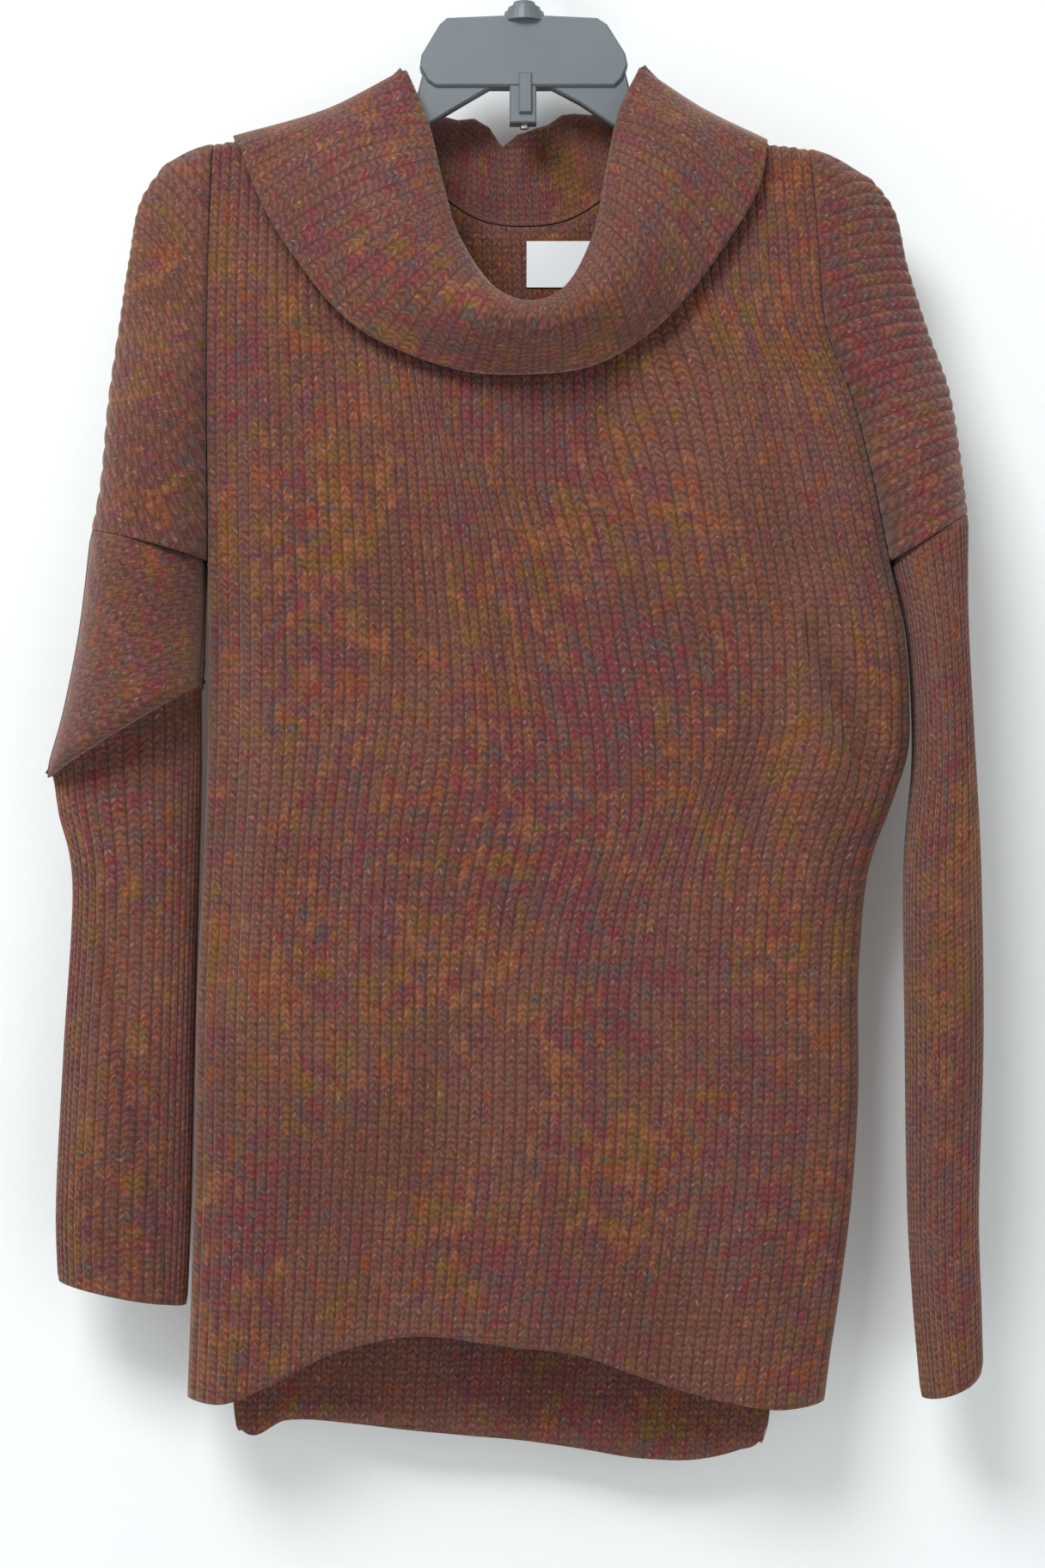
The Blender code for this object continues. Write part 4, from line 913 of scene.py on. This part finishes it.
def knit_collar(name, material, rows=64):
    knit = Knit()
    share = np.linspace(0.0, 1.0, COLLAR_RIBS * COLUMNS_PER_RIB + 1)
    coarse = np.linspace(0.0, 1.0, COLLAR_RIBS * 2 + 1)
    seam, seam_normals, upwards = (
        np.stack([np.interp(share, coarse, part[:, axis]) for axis in range(3)], axis=-1)
        for part in neck_points(coarse))
    gap = np.interp(np.minimum(share, np.minimum(np.abs(share - 0.5), 1.0 - share)), (0.0, 0.04),
                    (COLLAR_GAP_AT_SHOULDER, COLLAR_GAP))
    foot = seam + upwards * gap[:, None]
    stations = np.stack([spline(COLLAR[:, 0], COLLAR[:, column], share) for column in range(1, 10)], axis=-1)
    crown, fall, edge = stations[:, :3], stations[:, 3:6], stations[:, 6:]
    crown[:, 2] += np.interp(share, *BACK_WAVE.T) * (share > 0.6) * (share < 0.9)
    keys = np.array(COLLAR_KEYS)
    t = np.linspace(0.0, 1.0, rows)
    corners = np.stack([foot, crown, fall, edge])
    step = np.clip(np.searchsorted(keys, t, side="right") - 1, 0, 2)
    slopes = np.gradient(corners, keys, axis=0)
    width = (keys[step + 1] - keys[step])[:, None, None]
    s = ((t - keys[step]) / (keys[step + 1] - keys[step]))[:, None, None]
    base = ((2 * s**3 - 3 * s**2 + 1) * corners[step] + (s**3 - 2 * s**2 + s) * width * slopes[step]
            + (3 * s**2 - 2 * s**3) * corners[step + 1] + (s**3 - s**2) * width * slopes[step + 1])
    around = np.gradient(np.concatenate([base[:, -2:-1], base, base[:, 1:2]], axis=1), axis=1)[:, 1:-1]
    normals = unit(np.cross(np.gradient(base, axis=0), around))
    normals *= math.copysign(1.0, normals[-8, :, 2].sum())
    normals[0] = -seam_normals
    outside = base + normals * WALL
    facing = smooth(0.42, 0.5, t)[:, None] * smooth(0.2, 0.5, -normals[..., 1])
    fold = np.zeros(outside.shape[:2])
    for line, groove, width, height, reach in COLLAR_CREASES:
        fold = fold + crease(outside[..., 0], outside[..., 2], line, groove, width, height, reach)
    outside = outside - normals * (fold * facing)[..., None]
    down = run_along(outside, 0)
    phase = share[None] * COLLAR_RIBS + 0 * down
    fade = smooth(0.0, 3.0, down) * smooth(0.0, 5.0, down[-1][None] - down)
    cloth = np.stack([phase * RIB_WIDTH + 900.0, -down], axis=-1) * MM
    knit.sheet(outside, base, phase, fade, cloth, normals, 2)
    return knit.build(name, material)


collar = knit_collar("collar_knit", yarn_material)
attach(collar, "sweater_and_hanger")
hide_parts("collar")

# Label: a bare white woven tape, cut square and stitched inside the back of the neck.
tape = Finish("woven label tape", roughness=0.6)
tape_place = tape.add("ShaderNodeTexCoord", {}, {}, 3)
tape_weave = tape.add("ShaderNodeTexWave", {"bands_direction": "Z"}, {"Vector": tape_place, "Scale": 700.0})
tape_cross = tape.add("ShaderNodeTexWave", {"bands_direction": "X"}, {"Vector": tape_place, "Scale": 500.0})
tape_colour = tape.mix(tape_weave * tape_cross * 0.35, (0.90, 0.94, 0.95), (0.74, 0.79, 0.81))
tape_bump = tape.add("ShaderNodeBump", {}, {"Strength": 0.3, "Distance": 0.0002, "Height": tape_weave})
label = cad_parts["neck_label"]
label.data.materials.clear()
label.data.materials.append(tape.finish(base_color=tape_colour, normal=tape_bump))

# Hanger: one moulding in dark grey plastic with a fine grained face.
plastic = Finish("grained grey plastic", roughness=0.42)
plastic_place = plastic.add("ShaderNodeTexCoord", {}, {}, 3)
grain = plastic.noise(plastic_place, 2600.0, 2.0)
wear = plastic.noise(plastic_place, 28.0, 4.0)
plastic_colour = plastic.mix(wear, (0.115, 0.135, 0.150), (0.150, 0.172, 0.186))
plastic_bump = plastic.add("ShaderNodeBump", {}, {"Strength": 0.25, "Distance": 0.0002, "Height": grain})
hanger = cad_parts["hanger"]
hanger.data.materials.clear()
hanger.data.materials.append(plastic.finish(base_color=plastic_colour, roughness=grain * 0.2 + 0.34,
                                            normal=plastic_bump))

# Hook: bright plated wire, bent to the crook and turning in the moulding.
steel = Finish("plated wire", metallic=1.0)
steel_place = steel.add("ShaderNodeTexCoord", {}, {}, 3)
drawn = steel.noise(steel.stretch(steel_place, (900.0, 900.0, 60.0)), 1.0, 3.0)
steel_colour = steel.mix(drawn, (0.62, 0.63, 0.64), (0.80, 0.80, 0.80))
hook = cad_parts["hanger_hook"]
hook.data.materials.clear()
hook.data.materials.append(steel.finish(base_color=steel_colour, roughness=drawn * 0.2 + 0.14))

# Studio: a white wall close behind, a pale floor well below, and soft light from above.
WALL_Y = 62.0
FLOOR_Z = -1090.0


def studio_finish(name, colour, see_through=False):
    paint = Finish(name, roughness=0.85, specular_ior_level=0.2)
    place = paint.add("ShaderNodeTexCoord", {}, {}, 3)
    roller = paint.noise(place, 340.0, 3.0)
    bump = paint.add("ShaderNodeBump", {}, {"Strength": 0.12, "Distance": 0.0006, "Height": roller})
    tint = paint.mix(paint.noise(place, 2.2, 2.0), colour, tuple(c * 0.97 for c in colour))
    material = paint.finish(base_color=tint, normal=bump)
    if see_through:
        back_face = paint.add("ShaderNodeNewGeometry", {}, {}, 6)
        clear = paint.add("ShaderNodeBsdfTransparent", {}, {})
        shown = Value(paint, paint.shader.outputs[0])
        either = paint.add("ShaderNodeMixShader", {}, {0: back_face, 1: shown, 2: clear})
        paint.join(paint.tree.nodes["Material Output"].inputs["Surface"], either)
    return material


def studio_plane(name, size, place, turn, material):
    bpy.ops.mesh.primitive_plane_add(size=size * MM, location=Vector(place) * MM, rotation=turn)
    plane = bpy.context.object
    plane.name = name
    plane.data.materials.append(material)
    return plane


backdrop = studio_plane("backdrop", 6000.0, (0.0, WALL_Y, FLOOR_Z + 3000.0), (math.pi / 2, 0.0, 0.0),
                        studio_finish("white wall paint", (0.90, 0.93, 0.93), True))
backdrop.visible_shadow = False
studio_plane("floor", 6000.0, (0.0, 0.0, FLOOR_Z), (0.0, 0.0, 0.0),
             studio_finish("pale floor", (0.82, 0.83, 0.82)))


def soft_light(name, place, target, size, power, colour=(1.0, 1.0, 1.0)):
    lamp = bpy.data.lights.new(name, "AREA")
    lamp.shape = "RECTANGLE"
    lamp.size, lamp.size_y = size
    lamp.energy = power
    lamp.color = colour
    light = bpy.data.objects.new(name, lamp)
    bpy.context.scene.collection.objects.link(light)
    light.location = Vector(place)
    light.rotation_euler = (Vector(target) - Vector(place)).to_track_quat("-Z", "Y").to_euler()


soft_light("key", (-0.75, -1.75, 0.95), (0.0, 0.0, -0.50), (1.0, 0.8), 44.0)
soft_light("fill", (1.3, -2.2, -0.6), (0.0, 0.0, -0.55), (1.4, 1.6), 7.0)
soft_light("behind", (0.4, 2.4, 0.6), (0.0, 0.0, -0.5), (1.6, 1.2), 30.0)

world = bpy.data.worlds.new("studio air")
world.use_nodes = True
world.node_tree.nodes["Background"].inputs["Color"].default_value = (0.93, 0.97, 1.0, 1.0)
world.node_tree.nodes["Background"].inputs["Strength"].default_value = 0.42
bpy.context.scene.world = world

# Camera: square on to the sweater, at half its height, 1.6 m away.
CAMERA_DISTANCE = 1.6
lens_data = bpy.data.cameras.new("camera")
lens_data.sensor_fit = "VERTICAL"
lens_data.sensor_height = 36.0
lens_data.lens = 36.0 * CAMERA_DISTANCE / (1824 * 0.00052)
camera = bpy.data.objects.new("camera", lens_data)
bpy.context.scene.collection.objects.link(camera)
camera.location = (-0.001, -CAMERA_DISTANCE, -0.5383)
camera.rotation_euler = (math.pi / 2, 0.0, 0.0)
bpy.context.scene.camera = camera
bpy.context.scene.view_settings.view_transform = "Standard"
